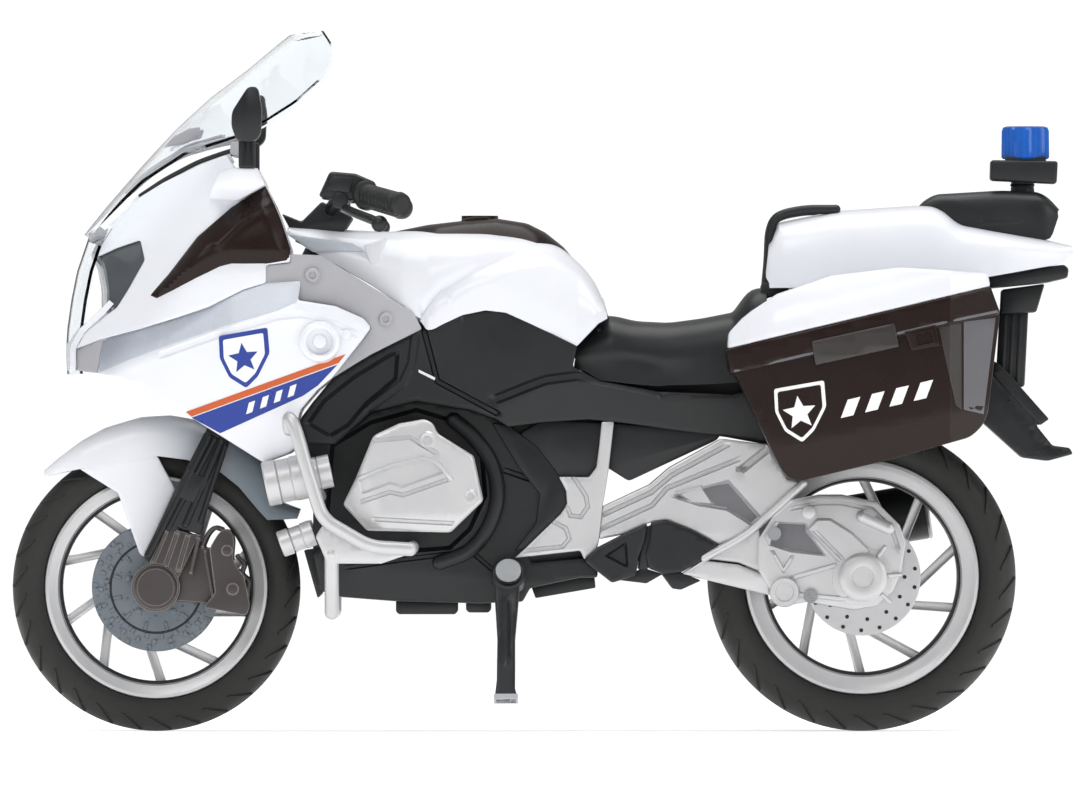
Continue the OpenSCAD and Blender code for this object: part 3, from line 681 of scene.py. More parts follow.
def rim(hub, bead, inner, half, swirls, first, disc_r, spoke_half, hub_ends):
    """Wheel with its bead ring, five pairs of leaning spokes and its hub."""
    ring = [(bead, half - 0.3), (bead - 0.2, half + 0.2), (bead - 0.7, half + 0.35),
            (bead - 1.2, half + 0.1), (bead - 1.9, half - 0.1), (inner + 0.3, half - 0.2),
            (inner, half - 0.7)]
    lower = [(r, -y) for r, y in ring]
    parts = [lathe(lower + ring[::-1], hub, 120, closed=True)]
    parts += [spoke(hub, first + 36 * i, swirls[i % 2], inner, disc_r, 1.5, spoke_half) for i in range(10)]
    low, high = hub_ends
    parts.append(lathe([(0, low), (4.6, low), (5.2, low + 0.6), (5.2, high - 0.6), (4.6, high), (0, high)],
                       hub, 48))
    return joined(*parts)


def brake_disc(hub, y_outer, y_inner, rings, around, drilled, bolt_r):
    """Stamped disc with drill marks and mounting bolts, on the left."""
    profile = [(2.6, y_inner), (2.6, y_outer)] + [(r, y_outer) for r in rings]
    profile += [(rings[-1] + 0.15, y_outer + 0.15), (rings[-1] + 0.15, y_inner)]
    bm = lathe(profile, (0, 0, 0), around, closed=True)
    marks = []
    for face in bm.faces:
        middle = face.calc_center_median()
        if abs(middle.y - y_outer) > 0.02:
            continue
        place = int(math.atan2(middle.z, middle.x) % math.tau / math.tau * around)
        radius = math.hypot(middle.x, middle.z)
        for low, high, every, start in drilled:
            if low < radius < high and place % every == start:
                marks.append(face)
    bmesh.ops.inset_individual(bm, faces=marks, thickness=0.1, depth=-0.3)
    bm = moved(bm, Matrix.Translation((hub[0], 0, hub[-1])))
    bolts = []
    for i in range(5):
        x, z = polar(hub, bolt_r, 18 + 72 * i)
        bolts.append(boss(x, z, 0.55, y_outer - 0.4, y_outer, 0.2, 12))
    return joined(bm, *bolts)


def front_wheel():
    add_piece("front_tyre_notched", tyre(FRONT, 25.1, 5, 19.5, 30, 22), "front_wheel", "tyre_rubber",
              ["front_tyre"])
    add_piece("front_rim_spoked", rim(FRONT, 19.5, 16.9, 4, (8.5, 17), 57.5, 11.2, 1.5, (-5.4, 5.4)),
              "front_wheel", "silver_paint", ["front_rim"])
    rings = [4.4, 6.2, 7.7, 7.8, 8.0, 8.1, 9.1, 10.1, 11.05]
    drilled = [(8.2, 9, 4, 0), (9.2, 10, 4, 2), (10.2, 11, 5, 1), (6.3, 7.6, 7, 3)]
    left = brake_disc(FRONT, -6.1, -5.5, rings, 84, drilled, 5.1)
    add_piece("front_discs_drilled", both_sides(left), "front_wheel", "disc_metal", ["front_discs"])
    # Dark band on the rim's floor: painted shade inside the rim's lips.
    add_piece("front_rim_well_shade", rim_well_shade(FRONT, 17.1, 3.2), "front_wheel", "black_plastic")
    ring = [(7.75, -6.12), (7.85, -6.2), (8.05, -6.2), (8.15, -6.12)]
    add_piece("disc_rings", both_sides(lathe(ring, FRONT, 72, closed=True)), "front_wheel", "black_plastic")


def rim_well_shade(hub, radius, half):
    """Dark band on the floor of the rim, inside its bright lips: painted shade where the rim's inner barrel lies
    in shadow.
    """
    profile = [(radius, -half), (radius - 0.5, -half), (radius - 0.75, -half + 0.5),
               (radius - 0.75, half - 0.5), (radius - 0.5, half), (radius, half)]
    return lathe(profile, hub, 96, closed=True)


def rear_wheel():
    add_piece("rear_tyre_notched", tyre(REAR, 26.9, 7.5, 20.5, 30, 22), "rear_wheel", "tyre_rubber",
              ["rear_tyre"])
    add_piece("rear_rim_spoked", rim(REAR, 20.5, 17.2, 6.2, (10, 20.5), 54, 10.6, 1.8, (-8.3, 6)),
              "rear_wheel", "silver_paint", ["rear_rim"])
    rings = [5.0, 10.05]
    add_piece("rear_disc_drilled", brake_disc(REAR, -8.9, -8.3, rings, 60, [], 4.2), "rear_wheel",
              "silver_paint", ["rear_disc"])
    # Dark dots for the drilled holes: painted shade in the holes.
    dots = []
    for radius, count, first in ((7.4, 13, 0), (9.3, 18, 9)):
        for i in range(count):
            x, z = polar(REAR, radius, first + 360 / count * i)
            dots.append(boss(x, z, 0.36, -8.98, -8.8, 0.04, 10))
    add_piece("rear_disc_hole_shade", joined(*dots), "rear_wheel", "black_plastic")
    # Dark band on the rim's floor: painted shade inside the rim's lips.
    add_piece("rear_rim_well_shade", rim_well_shade(REAR, 17.4, 5.0), "rear_wheel", "black_plastic")


# Fork and steering


def fork_side():
    """Left fork leg: tube, ribbed sleeve and collar."""
    along_leg = Matrix.Translation((-FORK_OFFSET, -FORK_HALF, 0))
    shaft = moved(bar([(0, 0, -0.4), (0, 0, -40)], 2.0), IN_FORK @ along_leg)
    sleeve = plate([(-58.8, 52.3), (-64, 42), (-69.5, 30.6), (-68.6, 29.2), (-66.2, 34), (-65.6, 36.2),
                    (-62.8, 35.2), (-59.5, 34.2), (-58.5, 38), (-57.5, 43), (-54.5, 50.5)], -10.9, -7.2,
                   0.45, 3)
    ribs = []
    for x0, z0, x1, z1, r in ((-58.1, 51.3, -68.7, 30.6, 0.62), (-57.1, 50.9, -65.2, 35.4, 0.5),
                              (-55.9, 50.6, -62.2, 36.0, 0.62), (-55.3, 49.6, -59.6, 36.6, 0.5)):
        ribs.append(bar([(x0, -10.9, z0), (x1, -10.9, z1)], r))
    collar = plate([(-61.8, 45.6), (-64.2, 41.2), (-60.4, 39.6), (-58.0, 43.8)], -11.4, -10.6, 0.25)
    return joined(shaft, sleeve, collar, *ribs)


def fork_foot():
    """Brown slider under the sleeve, with its light ribs, and the lug round the axle."""
    slider = plate([(-66.3, 35.8), (-63, 35.0), (-59.9, 34.0), (-62.4, 28.6), (-64.6, 24.4), (-70, 26.6),
                    (-68.2, 31.6)], -10.7, -6.9, 0.4)
    ribs = [bar([(-65.6 + 1.9 * i, -10.7, 34.9 - 0.4 * i), (-67.9 + 2.2 * i, -10.7, 29.4 - 0.6 * i)], 0.36)
            for i in range(4)]
    lug = lathe([(0, -10.8), (3.4, -10.8), (3.8, -10.4), (3.8, -6.5), (0, -6.5)], FRONT, 48)
    return joined(slider, lug, *ribs)


def caliper():
    """Left brake caliper with its seams, pads, spring and short hose."""
    arm = plate([(-65, 30), (-60.5, 32), (-57.5, 32), (-56, 24), (-58.5, 22.3), (-65, 22.8)], -9.6, -6.6,
                0.4)
    body = plate([(-58, 32), (-56.5, 34.5), (-55.5, 35.3), (-54.3, 35), (-53.7, 33.5), (-54, 30),
                  (-52.6, 27.6), (-52, 27), (-51, 22), (-51.5, 20.2), (-59, 21.6), (-58.5, 22.3),
                  (-57, 24)], -10.9, -6.6, 0.7, 3,
                 0.8)
    seams = [bar([(-57.6, -9.9, 31.6), (-56.2, -9.9, 24.2)], 0.28),
             bar([(-58.8, -9.8, 31.4), (-57.4, -9.8, 23.6)], 0.28)]
    pads = [boss(-55, 31.5, 0.9, -11.3, -10.6, 0.25, 20), boss(-54, 24.8, 1.0, -11.3, -10.6, 0.25, 20)]
    pin = bar([(-53.2, -8.6, 30.5), (-51.9, -8.6, 29.2), (-52.6, -8.6, 27.4), (-51.1, -8.6, 26.2),
               (-51.6, -8.6, 23.4)], 0.4, 0.6)
    hose = bar([(-59.3, -9.4, 32.2), (-58.4, -9.8, 34.4), (-57.2, -9.8, 35.6), (-56.0, -9.6, 35.2)], 0.4,
               1.0)
    return joined(arm, body, pin, hose, *seams, *pads)


def axle_caps():
    """Stepped caps over both ends of the front axle."""
    cap = lathe([(0, -11.6), (3.2, -11.6), (3.6, -11.35), (3.8, -11.0), (3.8, -10.8), (4.2, -10.75),
                 (4.2, -10.5), (0, -10.5)], FRONT, 56)
    return joined(both_sides(cap), lathe([(0, -10.9), (1.15, -10.9), (1.15, 10.9), (0, 10.9)], FRONT, 24))


def fender():
    """Front mudguard: an arch over the tyre with deep cheeks."""
    stations = [(-86.5, 44.8, -86.4, 44.5), (-84, 47, -83.5, 45.1), (-80, 50, -80, 45.8),
                (-76, 52.2, -76, 46.4), (-70, 54, -71.5, 47.2), (-65, 54.3, -67.5, 48),
                (-61, 53.6, -62, 47.3), (-58.5, 52.5, -59, 46.3), (-54, 50.3, -56, 45),
                (-50, 47.5, -53, 42.6), (-48.5, 46, -51, 40.2), (-47.7, 42, -49.3, 38.2),
                (-46.5, 39.5, -48, 36.8), (-42.5, 38, -43, 37)]
    crown = [(-86.5, 44.8)] + [s[:2] for s in stations[1:]]
    hem = [s[2:] for s in stations]

    def place(u, v):
        span = u * (len(stations) - 1)
        i = min(int(span), len(stations) - 2)
        top = Vector(crown[i]).lerp(Vector(crown[i + 1]), span - i)
        low = Vector(hem[i]).lerp(Vector(hem[i + 1]), span - i)
        a = math.pi * v
        side = math.copysign(abs(math.cos(a)) ** 0.42, -math.cos(a))
        lift = math.sin(a) ** 0.6
        at = low.lerp(top, lift)
        narrow = 0.55 + 0.45 * min(1, u * 7)
        return (at.x, 7.4 * side * narrow, at.y)

    bm = mapped(65, 26, place)
    bmesh.ops.smooth_vert(bm, verts=[v for v in bm.verts if not v.is_boundary], factor=0.5,
                          use_axis_x=True, use_axis_y=True, use_axis_z=True)
    shell = thickened(bm, -0.8)
    stay = [(-81, 45.9), (-73.5, 47.4), (-67.5, 48.6), (-64, 42.2), (-67.5, 34.5), (-69.5, 30.3),
            (-70.3, 31), (-74, 41.5), (-78, 44)]
    cheek = draped(stay, lambda x, z: 7.0 + 0.45 * smaller(1.6, (z - 30) * 0.1 + 0.1 * (x + 74), 0.6), 0.9,
                   0.3, 0.8, folds=[[(-73.6, 47.4), (-69.6, 31)]])
    return joined(shell, both_sides(cheek))


def bars():
    """Handlebar with its clamp, switch blocks and levers."""
    clamp = moved(plate([(-6.4, 16.4), (-6.4, 18.2), (-4, 20.2), (0, 20.2), (2.4, 18.8), (2.4, 16.4)], -7,
                        7, 0.5),
                  IN_FORK)
    arm = plate([(-45.5, 90.2), (-42, 88.8), (-38.5, 92.3), (-33, 89.5), (-34.8, 86.8), (-43.8, 87)], -9.5,
                -6, 0.4, 3)
    riser = bar([(-38, -5, 88.6), (-36.5, -10, 91.5), (-33.5, -17.5, 94.2), (-31.5, -20, 93.6)], 1.3)
    block = plate([(-39, 93), (-37, 97.4), (-32.5, 97), (-29, 95.5), (-29, 93.2), (-33, 92.2)], -20.4,
                  -15.8, 0.6, 3)
    lid = plate([(-37.6, 94.2), (-36.5, 96.6), (-33, 96.3), (-33.4, 93.6)], -20.9, -20.2, 0.25)
    knob = boss(-35.2, 92.4, 1.5, -20.8, -16.5, 0.4, 28)
    lever = bar([(-35.6, -18.5, 91.8), (-33.4, -22, 90.6), (-29, -28, 88.9), (-28.3, -29.6, 88.2)], 0.65)
    bulb = ball((-28.3, -29.8, 88.2), 1.45)
    return joined(clamp, both_sides(joined(arm, riser, block, lid, knob, lever, bulb)))


def grip_pair():
    """Ribbed grips, swept back from the bar's ends."""
    start = Vector((-31.2, -20.6, 93.5))
    end = Vector((-24.3, -32.5, 91.5))
    run = end - start
    turn = run.to_track_quat("Y", "Z").to_matrix().to_4x4()
    profile = [(0, 0), (2.2, 0), (2.35, 0.3), (2.35, 1.1)]
    for i in range(8):
        y = 1.5 + i * 1.25
        profile += [(1.75, y), (1.92, y + 0.3), (1.92, y + 0.85), (1.75, y + 1.15)]
    profile += [(1.9, 11.9), (2.05, 12.6), (1.9, 13.5), (1.2, run.length), (0, run.length)]
    return both_sides(moved(lathe(profile, (0, 0, 0), 40), Matrix.Translation(start) @ turn))


def front_end():
    add_piece("fork_legs_ribbed", both_sides(fork_side()), "fork", "black_plastic", ["fork_legs"])
    # The brown castings' pale edges are a painted highlight.
    add_piece("fork_feet", both_sides(fork_foot()), "fork", "brown_plastic", finish=BROWN_CAST)
    add_piece("brake_calipers", both_sides(caliper()), "fork", "brown_plastic", ["calipers"], BROWN_CAST)
    add_piece("axle_caps", axle_caps(), "fork", "brown_plastic", ["front_axle"], BROWN_CAST)
    # The mudguard's blue-grey over its rear half is painted shade.
    add_piece("front_mudguard", fender(), "fork", "white_plastic", ["front_fender"], FENDER_WHITE_PAINTED_SHADE, 40)
    add_piece("handlebar_shaped", bars(), "fork", "black_plastic", ["handlebar"])
    add_piece("grips_ribbed", grip_pair(), "fork", "soft_black", ["grips"])


# Nose, windshield and fairing

NOSE_TOP = [(-75.8, 87.5), (-70.3, 93), (-66, 95.6), (-60, 98.5), (-55, 100.3)]
NOSE_FOOT = [(-76, 68.5), (-70, 70), (-64, 71.8), (-58, 73.8), (-52, 76.8), (-48, 78)]


def nose_depth(x, z):
    """Half width of the nose: a narrow front that folds into a flat cheek."""
    front = 11 + 0.95 * (x + 80) - 0.62 * (z - 75)
    cheek = 25 - 0.3 * max(0, z - 80) + 0.05 * min(0, z - 78)
    return max(2.0, smaller(front, cheek, 2.2)) - groove(x, z, [(-50, 92.6), (-58, 90.5)], 0.5, 0.3)


def nose_side():
    """Left cheek of the nose."""
    outline = NOSE_TOP + [(-53.4, 97.8), (-49.5, 98), (-48.2, 94.9), (-45.5, 89), (-43.8, 84),
                          (-43.8, 81.6), (-48, 81.1), (-48, 78)]
    outline += NOSE_FOOT[-2::-1] + [(-81.2, 66.6), (-79.5, 69.5), (-76, 72.3), (-74, 73.8), (-72, 77),
                                    (-69.2, 82), (-70, 85.5), (-74, 84.2), (-78, 82.4)]
    return draped(outline, nose_depth, 1.3, 0.35, 0.8, folds=[[(-66, 83), (-57, 93)]])


def hood(u, v):
    """Top of the nose, under the windshield."""
    at = on_line(NOSE_TOP, u)
    half = nose_depth(at.x, at.y) - 0.3
    side = 2 * v - 1
    return (at.x + 0.6 * side * side, half * side, at.y + 0.9 * (1 - side * side))


def chin(u, v):
    """Front of the nose below the lamp."""
    at = on_line([(-74.6, 74.4), (-76.2, 72.6), (-79.5, 69.7), (-81.2, 66.8), (-81.2, 62.9)], u)
    half = nose_depth(at.x, at.y) - 0.2
    side = 2 * v - 1
    return (at.x - 0.5 * (1 - side * side), half * side, at.y)


def lens_face(u, v):
    """Dark lamp face across the nose."""
    at = on_line([(-75.6, 87.2), (-78.2, 83.2), (-77.0, 81), (-76.2, 77), (-76.2, 72.8)], u)
    half = nose_depth(at.x + 0.6, at.y) - 0.4
    side = 2 * v - 1
    return (at.x + 1.2 * side * side, half * side, at.y)


def clear_cover(u, v):
    """Clear sheet that stands in front of the lamp."""
    line = [(-78.6, 85.9), (-80.6, 80), (-81.6, 75), (-82.3, 70), (-82.5, 66), (-82.3, 62.3)]
    at = on_line(line, u)
    side = 2 * v - 1
    return (at.x + 2.2 * side ** 4, 9 * side, at.y)


SHIELD_MIDDLE = [(-80, 86.6), (-76.5, 91), (-70, 98.5), (-64, 105), (-58, 110.5), (-52, 115), (-46, 120),
                 (-44.2, 121.4)]
SHIELD_SIDE = [(-79.3, 86.6), (-70, 95.8), (-62, 101), (-53, 103.8), (-48, 106.6), (-43, 109.8),
               (-38.4, 114), (-36.9, 116.8), (-36.9, 119.4), (-38.6, 121.9)]
SHIELD_HALF = [(0, 12.5), (0.2, 16), (0.4, 18), (0.7, 19), (0.88, 18.6), (0.96, 17.4), (1, 15.6)]


def windshield_at(u, v):
    """Windshield, curved from its middle line out to its side line."""
    middle = on_line(SHIELD_MIDDLE, u)
    edge = on_line(SHIELD_SIDE, u)
    side = 2 * v - 1
    at = middle.lerp(edge, side * side)
    return (at.x, along(SHIELD_HALF, u) * side, at.y)


def shield_mount():
    """Dark seal at the foot of the windshield."""
    seal = [(-70.2, 93.2), (-66, 96.0), (-60, 99.1), (-55, 100.8), (-52.6, 101.4)]
    strip = tube([(x, -nose_depth(x, z) + 1.2, z) for x, z in seal], 0.42)
    return both_sides(strip)


def shield_brackets():
    """Grey rails, clips and blocks at the foot of the windshield."""
    rail = [(-72.5, 93.6), (-68, 97.6), (-63, 100.6), (-57, 102.4), (-53, 103.2)]
    strips = [tube([(x, -nose_depth(x, z - 3) + 2.2, z) for x, z in rail], 0.4),
              tube([(x + 1.2, -nose_depth(x, z - 3) + 3.4, z + 1.0) for x, z in rail[:4]], 0.3)]
    hump = draped([(-66, 101.6), (-64.2, 103.6), (-61.5, 105.0), (-59.6, 105.2), (-59.8, 103.2),
                   (-62, 102.4)],
                  lambda x, z: 12.5, 0.8, 0.25, 2)
    clip = plate([(-79.6, 86.6), (-77.4, 88.2), (-75.6, 86.6), (-78.4, 84.9)], -7.5, -4.5, 0.25)
    block = plate([(-54.4, 100.4), (-54.2, 102.6), (-50.4, 102.2), (-50.4, 99.6)], -18.5, -15.5, 0.3)
    return both_sides(joined(hump, clip, block, *strips))


def mirror_side():
    """Left mirror with its ribbed stem."""
    head = draped([(-53.8, 107.5), (-51, 111.8), (-49.3, 111.8), (-48.6, 108), (-48.8, 103.5), (-50, 102.3),
                   (-53, 102.5), (-53.9, 105)],
                  lambda x, z: 39.2 - 0.036 * (z - 107) ** 2 - 0.9 * above(-51.3 - x, 0.5), 5, 0.6, 0.6,
                  inner=29.5, corner=0.8, steps=3)
    stem = plate([(-52.7, 97.7), (-52.7, 103.2), (-49.8, 103.2), (-49.8, 97.7)], -31.8, -28.6, 0.5, 3)
    ribs = [bar([(-52.2 + 1.0 * i, -31.9, 98.2), (-52.0 + 0.9 * i, -31.9, 102.2)], 0.28) for i in range(3)]
    return joined(head, stem, *ribs)


def mirror_foot():
    """White pod on the cheek that the mirror's stem stands in."""
    return draped([(-58, 92.6), (-56.4, 97.1), (-54, 97.9), (-49.5, 97.8), (-48, 94.9), (-53, 92.2)],
                  lambda x, z: 31.9 - 2.2 * above(94.6 - z, 0.6) - 0.8 * above(-54.5 - x, 0.6), 3, 0.5, 0.7,
                  inner=18)


def winglet():
    """Dark wing below the mirror, with a crest along it."""
    outline = [(-48.2, 94.9), (-46.5, 91.5), (-45.5, 89), (-43.8, 84), (-43.8, 81.6), (-48, 81.1),
               (-54, 81.3), (-56, 80.8), (-60, 78.8), (-64, 76.6), (-67, 75), (-68.4, 75.8), (-65, 79.5),
               (-60, 86), (-54, 91.2)]
    ridge = [(-56.5, 84.5), (-53, 88), (-47.4, 91.8)]

    def depth(x, z):
        lift = 1.7 * min(1, inside(x, z, outline) / 2.2) if inside(x, z, outline) > 0 else 0
        crest = groove(x, z, ridge, 1.1, 0.5)
        lower = 0.16 * above(85.5 + 0.3 * (x + 52) - z, 0.8)
        return smaller(nose_depth(x, z) + 0.7 + lift, 26.4, 0.4) + crest - lower

    return draped(outline, depth, 1.0, 0.25, 0.7, folds=[ridge])


FAIRING = NOSE_FOOT + [(-42, 78.3), (-42.5, 75), (-36, 74), (-31, 71.8), (-29.8, 70.2), (-31, 68.5),
                       (-36.5, 61.5), (-39, 59.5), (-42, 56), (-42.6, 54), (-42, 50), (-44, 48.5),
                       (-48.5, 46.8), (-52, 49), (-56, 51.5), (-60, 54), (-66, 57.8), (-70, 60),
                       (-74, 61.5), (-77.5, 62.3)]
FAIRING_RIDGE = [(-77, 61.5), (-72, 63.8), (-66, 66), (-56, 69.5), (-46, 72.5), (-42, 72.9), (-36, 71.4),
                 (-31, 69.5)]
FAIRING_HALF = [(-78, 11.5), (-72, 18), (-64, 22.5), (-54, 26), (-44, 27.2), (-36, 26.5), (-29, 24)]


def fairing_depth(x, z):
    """Half width of the side fairing: it folds in both ways from its ridge."""
    ridge = smooth_along(FAIRING_RIDGE, x)
    out = smooth_along(FAIRING_HALF, x) - 0.34 * above(z - ridge, 0.7) - 0.1 * above(ridge - z, 0.9)
    return out - 0.003 * (ridge - z) ** 2 + groove(x, z, FAIRING_RIDGE, 1.6, 0.21)


def fairing_side():
    """Left side fairing with its rim line."""
    rim = [(-66, 65.6), (-56, 69.1), (-46, 72.1), (-42, 72.5), (-36, 71.0), (-32.6, 69.2)]
    return draped(FAIRING, fairing_depth, 1.3, 0.4, 0.9, marks=[("line", rim, 0.7, 0.45)])


def fairing_shade_band():
    """Shoulder between the nose and the fairing's ridge: a thin sheet over the fairing that carries painted shade.
    """
    outline = [(-76.8, 68), (-70, 69.8), (-64, 71.6), (-58, 73.6), (-52, 76.6), (-48, 77.9), (-42.2, 78.1),
               (-42.7, 74.6), (-46, 73.2), (-56, 70.2), (-66, 66.8), (-72, 64.6), (-77.3, 62.4)]
    return draped(outline, lambda x, z: fairing_depth(x, z) + 0.12, 0.5, 0.12, 0.9)


def raised(outline, depth, lift, edge=0.04, step=0.9):
    """Print laid over a panel, as a skin a tenth of a millimetre thick; the same skin also carries painted shade
    and painted light.
    """
    return draped(outline, lambda x, z: depth(x, z) + lift, 0.35, edge, step, steps=1)


def shield_outline(x, z, size):
    """Plain heater shield with a flat top."""
    shape = [(-0.46, 0.42), (0, 0.5), (0.46, 0.58), (0.5, 0.1), (0.28, -0.34), (0.06, -0.56),
             (-0.26, -0.36), (-0.44, 0.0)]
    return bent([(x + size * a, z + size * b) for a, b in shape], size * 0.05)


def star_outline(x, z, radius):
    """Plain five-pointed star, leaning a little."""
    return [polar((x, z), radius * (0.45 if i % 2 else 1), 98 + 36 * i) for i in range(10)]


def fairing_prints(name, flip):
    """Shield with a star, an orange stripe, and a blue band with pale bars."""
    turn = mirrored if flip else unchanged
    band = [(-61, 54.6), (-35.6, 63.8), (-39, 60.2), (-41.6, 58.4), (-56, 51.9), (-58, 53)]
    stripe = [(-62, 55.6), (-34.2, 65.6), (-35.4, 64.1), (-61, 54.8)]
    blue = joined(raised(shield_outline(-52, 64.9, 9.2), fairing_depth, 0.1),
                  raised(star_outline(-51.9, 64.9, 2.7), fairing_depth, 0.3),
                  raised(band, fairing_depth, 0.1))
    add_piece(name + "_blue_print", turn(blue), "chassis", "blue_clear", finish=INK_BLUE)
    add_piece(name + "_orange_print", turn(raised(stripe, fairing_depth, 0.12)), "chassis", "white_plastic",
              finish=INK_ORANGE)
    bars_on_band = [raised([(x, 56.8 + 0.4 * (x + 52)), (x + 1.1, 57.2 + 0.4 * (x + 52)),
                            (x + 0.6, 55.2 + 0.4 * (x + 52)), (x - 0.5, 54.8 + 0.4 * (x + 52))],
                           fairing_depth, 0.22, step=2) for x in (-51, -48.6, -46.2, -43.8)]
    white = joined(raised(shield_outline(-52, 64.9, 7.6), fairing_depth, 0.2), *bars_on_band)
    add_piece(name + "_white_print", turn(white), "chassis", "white_plastic", finish=INK_WHITE)


def fairing_boss():
    """Raised ring with a pale button, and the dot beside it."""
    x, z = (-38.7, 67.8)
    y = -fairing_depth(x, z)
    ring = lathe([(2.3, y + 0.6), (2.35, y - 0.9), (2.8, y - 1.3), (3.4, y - 1.1), (3.8, y + 0.4)], (x, z),
                 56, closed=True)
    button = boss(x, z, 1.25, y - 0.7, y + 0.6, 0.4)
    return joined(ring, button, boss(-34.2, 69, 0.95, -fairing_depth(-34.2, 69) - 0.35, y + 2, 0.3, 24))


def inner_panel():
    """Grey panel behind the fairing, with two screws."""
    outline = [(-48.3, 77.9), (-48, 81), (-44, 81.5), (-43.8, 83), (-38.5, 82.8), (-30, 77.5), (-22.5, 73),
               (-21, 70), (-30, 65.5), (-36.5, 61.5), (-36, 62.5), (-31, 68.5), (-29.8, 70.2), (-31, 71.8),
               (-36, 74), (-42.5, 75)]
    half = [(-49, 24.4), (-40, 23.6), (-30, 21.3), (-20, 17.6)]
    panel = draped(outline, lambda x, z: smooth_along(half, x) - 0.05 * above(z - 78, 1), 1.2, 0.35, 1.0)
    return joined(panel, screw_head(-40, 79.3, 1.35, -24.2, -22.5),
                  screw_head(-27.3, 71.7, 1.25, -21.1, -19.5))


def nose_and_fairing():
    cheeks = both_sides(joined(nose_side(), mirror_foot()))
    add_piece("nose_cheeks", cheeks, "chassis", "white_plastic", ["nose_fairing"], smooth=30)
    top = joined(thickened(mapped(30, 24, hood), 1.0), thickened(mapped(16, 20, chin), 1.0))
    add_piece("nose_hood", top, "chassis", "white_plastic", smooth=40)
    add_piece("headlight_face", thickened(mapped(16, 16, lens_face), 0.8), "chassis", "smoked_plastic")
    side_lens = [(-78, 82.2), (-74, 84.3), (-70, 85.5), (-69.2, 82), (-72, 77), (-74, 73.9), (-75.4, 73.6),
                 (-76, 79.5), (-77, 81)]
    lenses = draped(side_lens, lambda x, z: nose_depth(x, z) - 0.5 - 0.05 * above(z - 78, 2), 0.9, 0.2, 0.8)
    add_piece("headlight_lenses", both_sides(lenses), "chassis", "smoked_plastic", ["headlight_lens"])
    inlet = draped([(-81.2, 66.5), (-76.5, 68.3), (-77.5, 62.5), (-81, 62.8)],
                   lambda x, z: nose_depth(x, z) - 0.8 + 0.3 * above(x + 79, 1), 1.0, 0.2, 0.8)
    add_piece("nose_inlets", both_sides(inlet), "chassis", "grey_plastic")
    add_piece("headlight_clear_cover", thickened(mapped(24, 18, clear_cover), 0.7), "chassis",
              "clear_plastic", ["headlight_cover"])
    add_piece("windshield_clear", thickened(mapped(48, 32, windshield_at), 0.6), "chassis", "clear_plastic",
              ["windshield"], smooth=50)
    add_piece("windshield_seal", shield_mount(), "chassis", "black_plastic")
    add_piece("windshield_brackets", shield_brackets(), "chassis", "grey_plastic")
    add_piece("mirrors_shaped", both_sides(mirror_side()), "chassis", "black_plastic", ["mirrors"])
    add_piece("winglets_shaped", both_sides(winglet()), "chassis", "brown_plastic", ["winglets"])
    add_piece("fairing_left", joined(fairing_side(), fairing_boss()), "chassis", "white_plastic",
              ["side_fairing_left"])
    add_piece("fairing_right", mirrored(joined(fairing_side(), fairing_boss())), "chassis", "white_plastic",
              ["side_fairing_right"])
    # The grey shoulder band is painted shade laid over the fairing.
    add_piece("fairing_shade_bands", both_sides(fairing_shade_band()), "chassis", "grey_plastic", finish=PAINTED_SHADE_GREY)
    fairing_prints("left", False)
    fairing_prints("right", True)
    add_piece("inner_panels_shaped", both_sides(inner_panel()), "chassis", "grey_plastic", ["inner_panels"])


# Tank and seat

TANK_TOP = [(-44.5, 86.8), (-40, 86.8), (-34, 86.4), (-27, 86.1), (-20, 86.4), (-10, 86.2), (-4, 85.5),
            (2, 84), (4.5, 82), (7.5, 79), (9.5, 75.5), (10.5, 72)]
TANK_FOOT = [(-44.5, 86.6), (-38.5, 82.8), (-30, 78), (-24, 74), (-20, 69.8), (-14, 72.6), (-10, 73.4),
             (-6.5, 73), (-2, 71), (6, 67.1), (10.5, 71.8)]
TANK_RIDGE = [(-21, 71), (-18, 75), (-12, 78.5), (-4, 81), (2, 82), (6, 79.5), (10.5, 72)]


def vault(top, foot, half, power, x0, x1):
    """Closed-topped shape over a plan: place(u, v) for a sheet from the left foot to the right one."""
    def place(u, v):
        x = x0 + (x1 - x0) * u
        a = math.pi * v
        low = along(foot, x)
        high = max(low + 0.01, smooth_along(top, x) if x0 + 1 < x < x1 - 1 else along(top, x))
        side = math.copysign(abs(math.cos(a)) ** (2 / power), -math.cos(a))
        lift = abs(math.sin(a)) ** (2 / power)
        return Vector((x, half(x) * side, low + (high - low) * lift))
    return place


def tank_at(u, v):
    """Tank, scooped along the ridge on its flanks."""
    at = TANK_VAULT(u, v)
    ridge = along(TANK_RIDGE, at.x)
    if at.x > -22 and abs(at.y) > 6:
        scoop = 1.3 * math.exp(-((at.z - ridge - 1.4) / 1.7) ** 2) * min(1, (abs(at.y) - 6) / 6)
        flare = 0.12 * above(ridge - at.z, 0.3)
        at.y -= math.copysign(scoop - flare, at.y)
    return at


TANK_VAULT = vault(TANK_TOP, TANK_FOOT, lambda x: 17 * min(1, 0.76 + (x + 44.5) * 0.012), 3.2, -44.5, 10.5)


def pad_at(u, v):
    """Brown pad that lies over the middle of the tank."""
    x = -26 + 31 * u
    side = 2 * v - 1
    top = along([(-26, 86.3), (-20, 87.5), (-14, 88.2), (-8, 88.6), (-3, 87.8), (0, 86.3), (3, 83.9),
                 (5, 81.6)], x)
    drop = smooth_along(TANK_TOP, x) - 0.6 - top
    return (x, 9 * side * min(1, 0.45 + 2.2 * u, 0.5 + 2.4 * (1 - u)), top + drop * abs(side) ** 5)


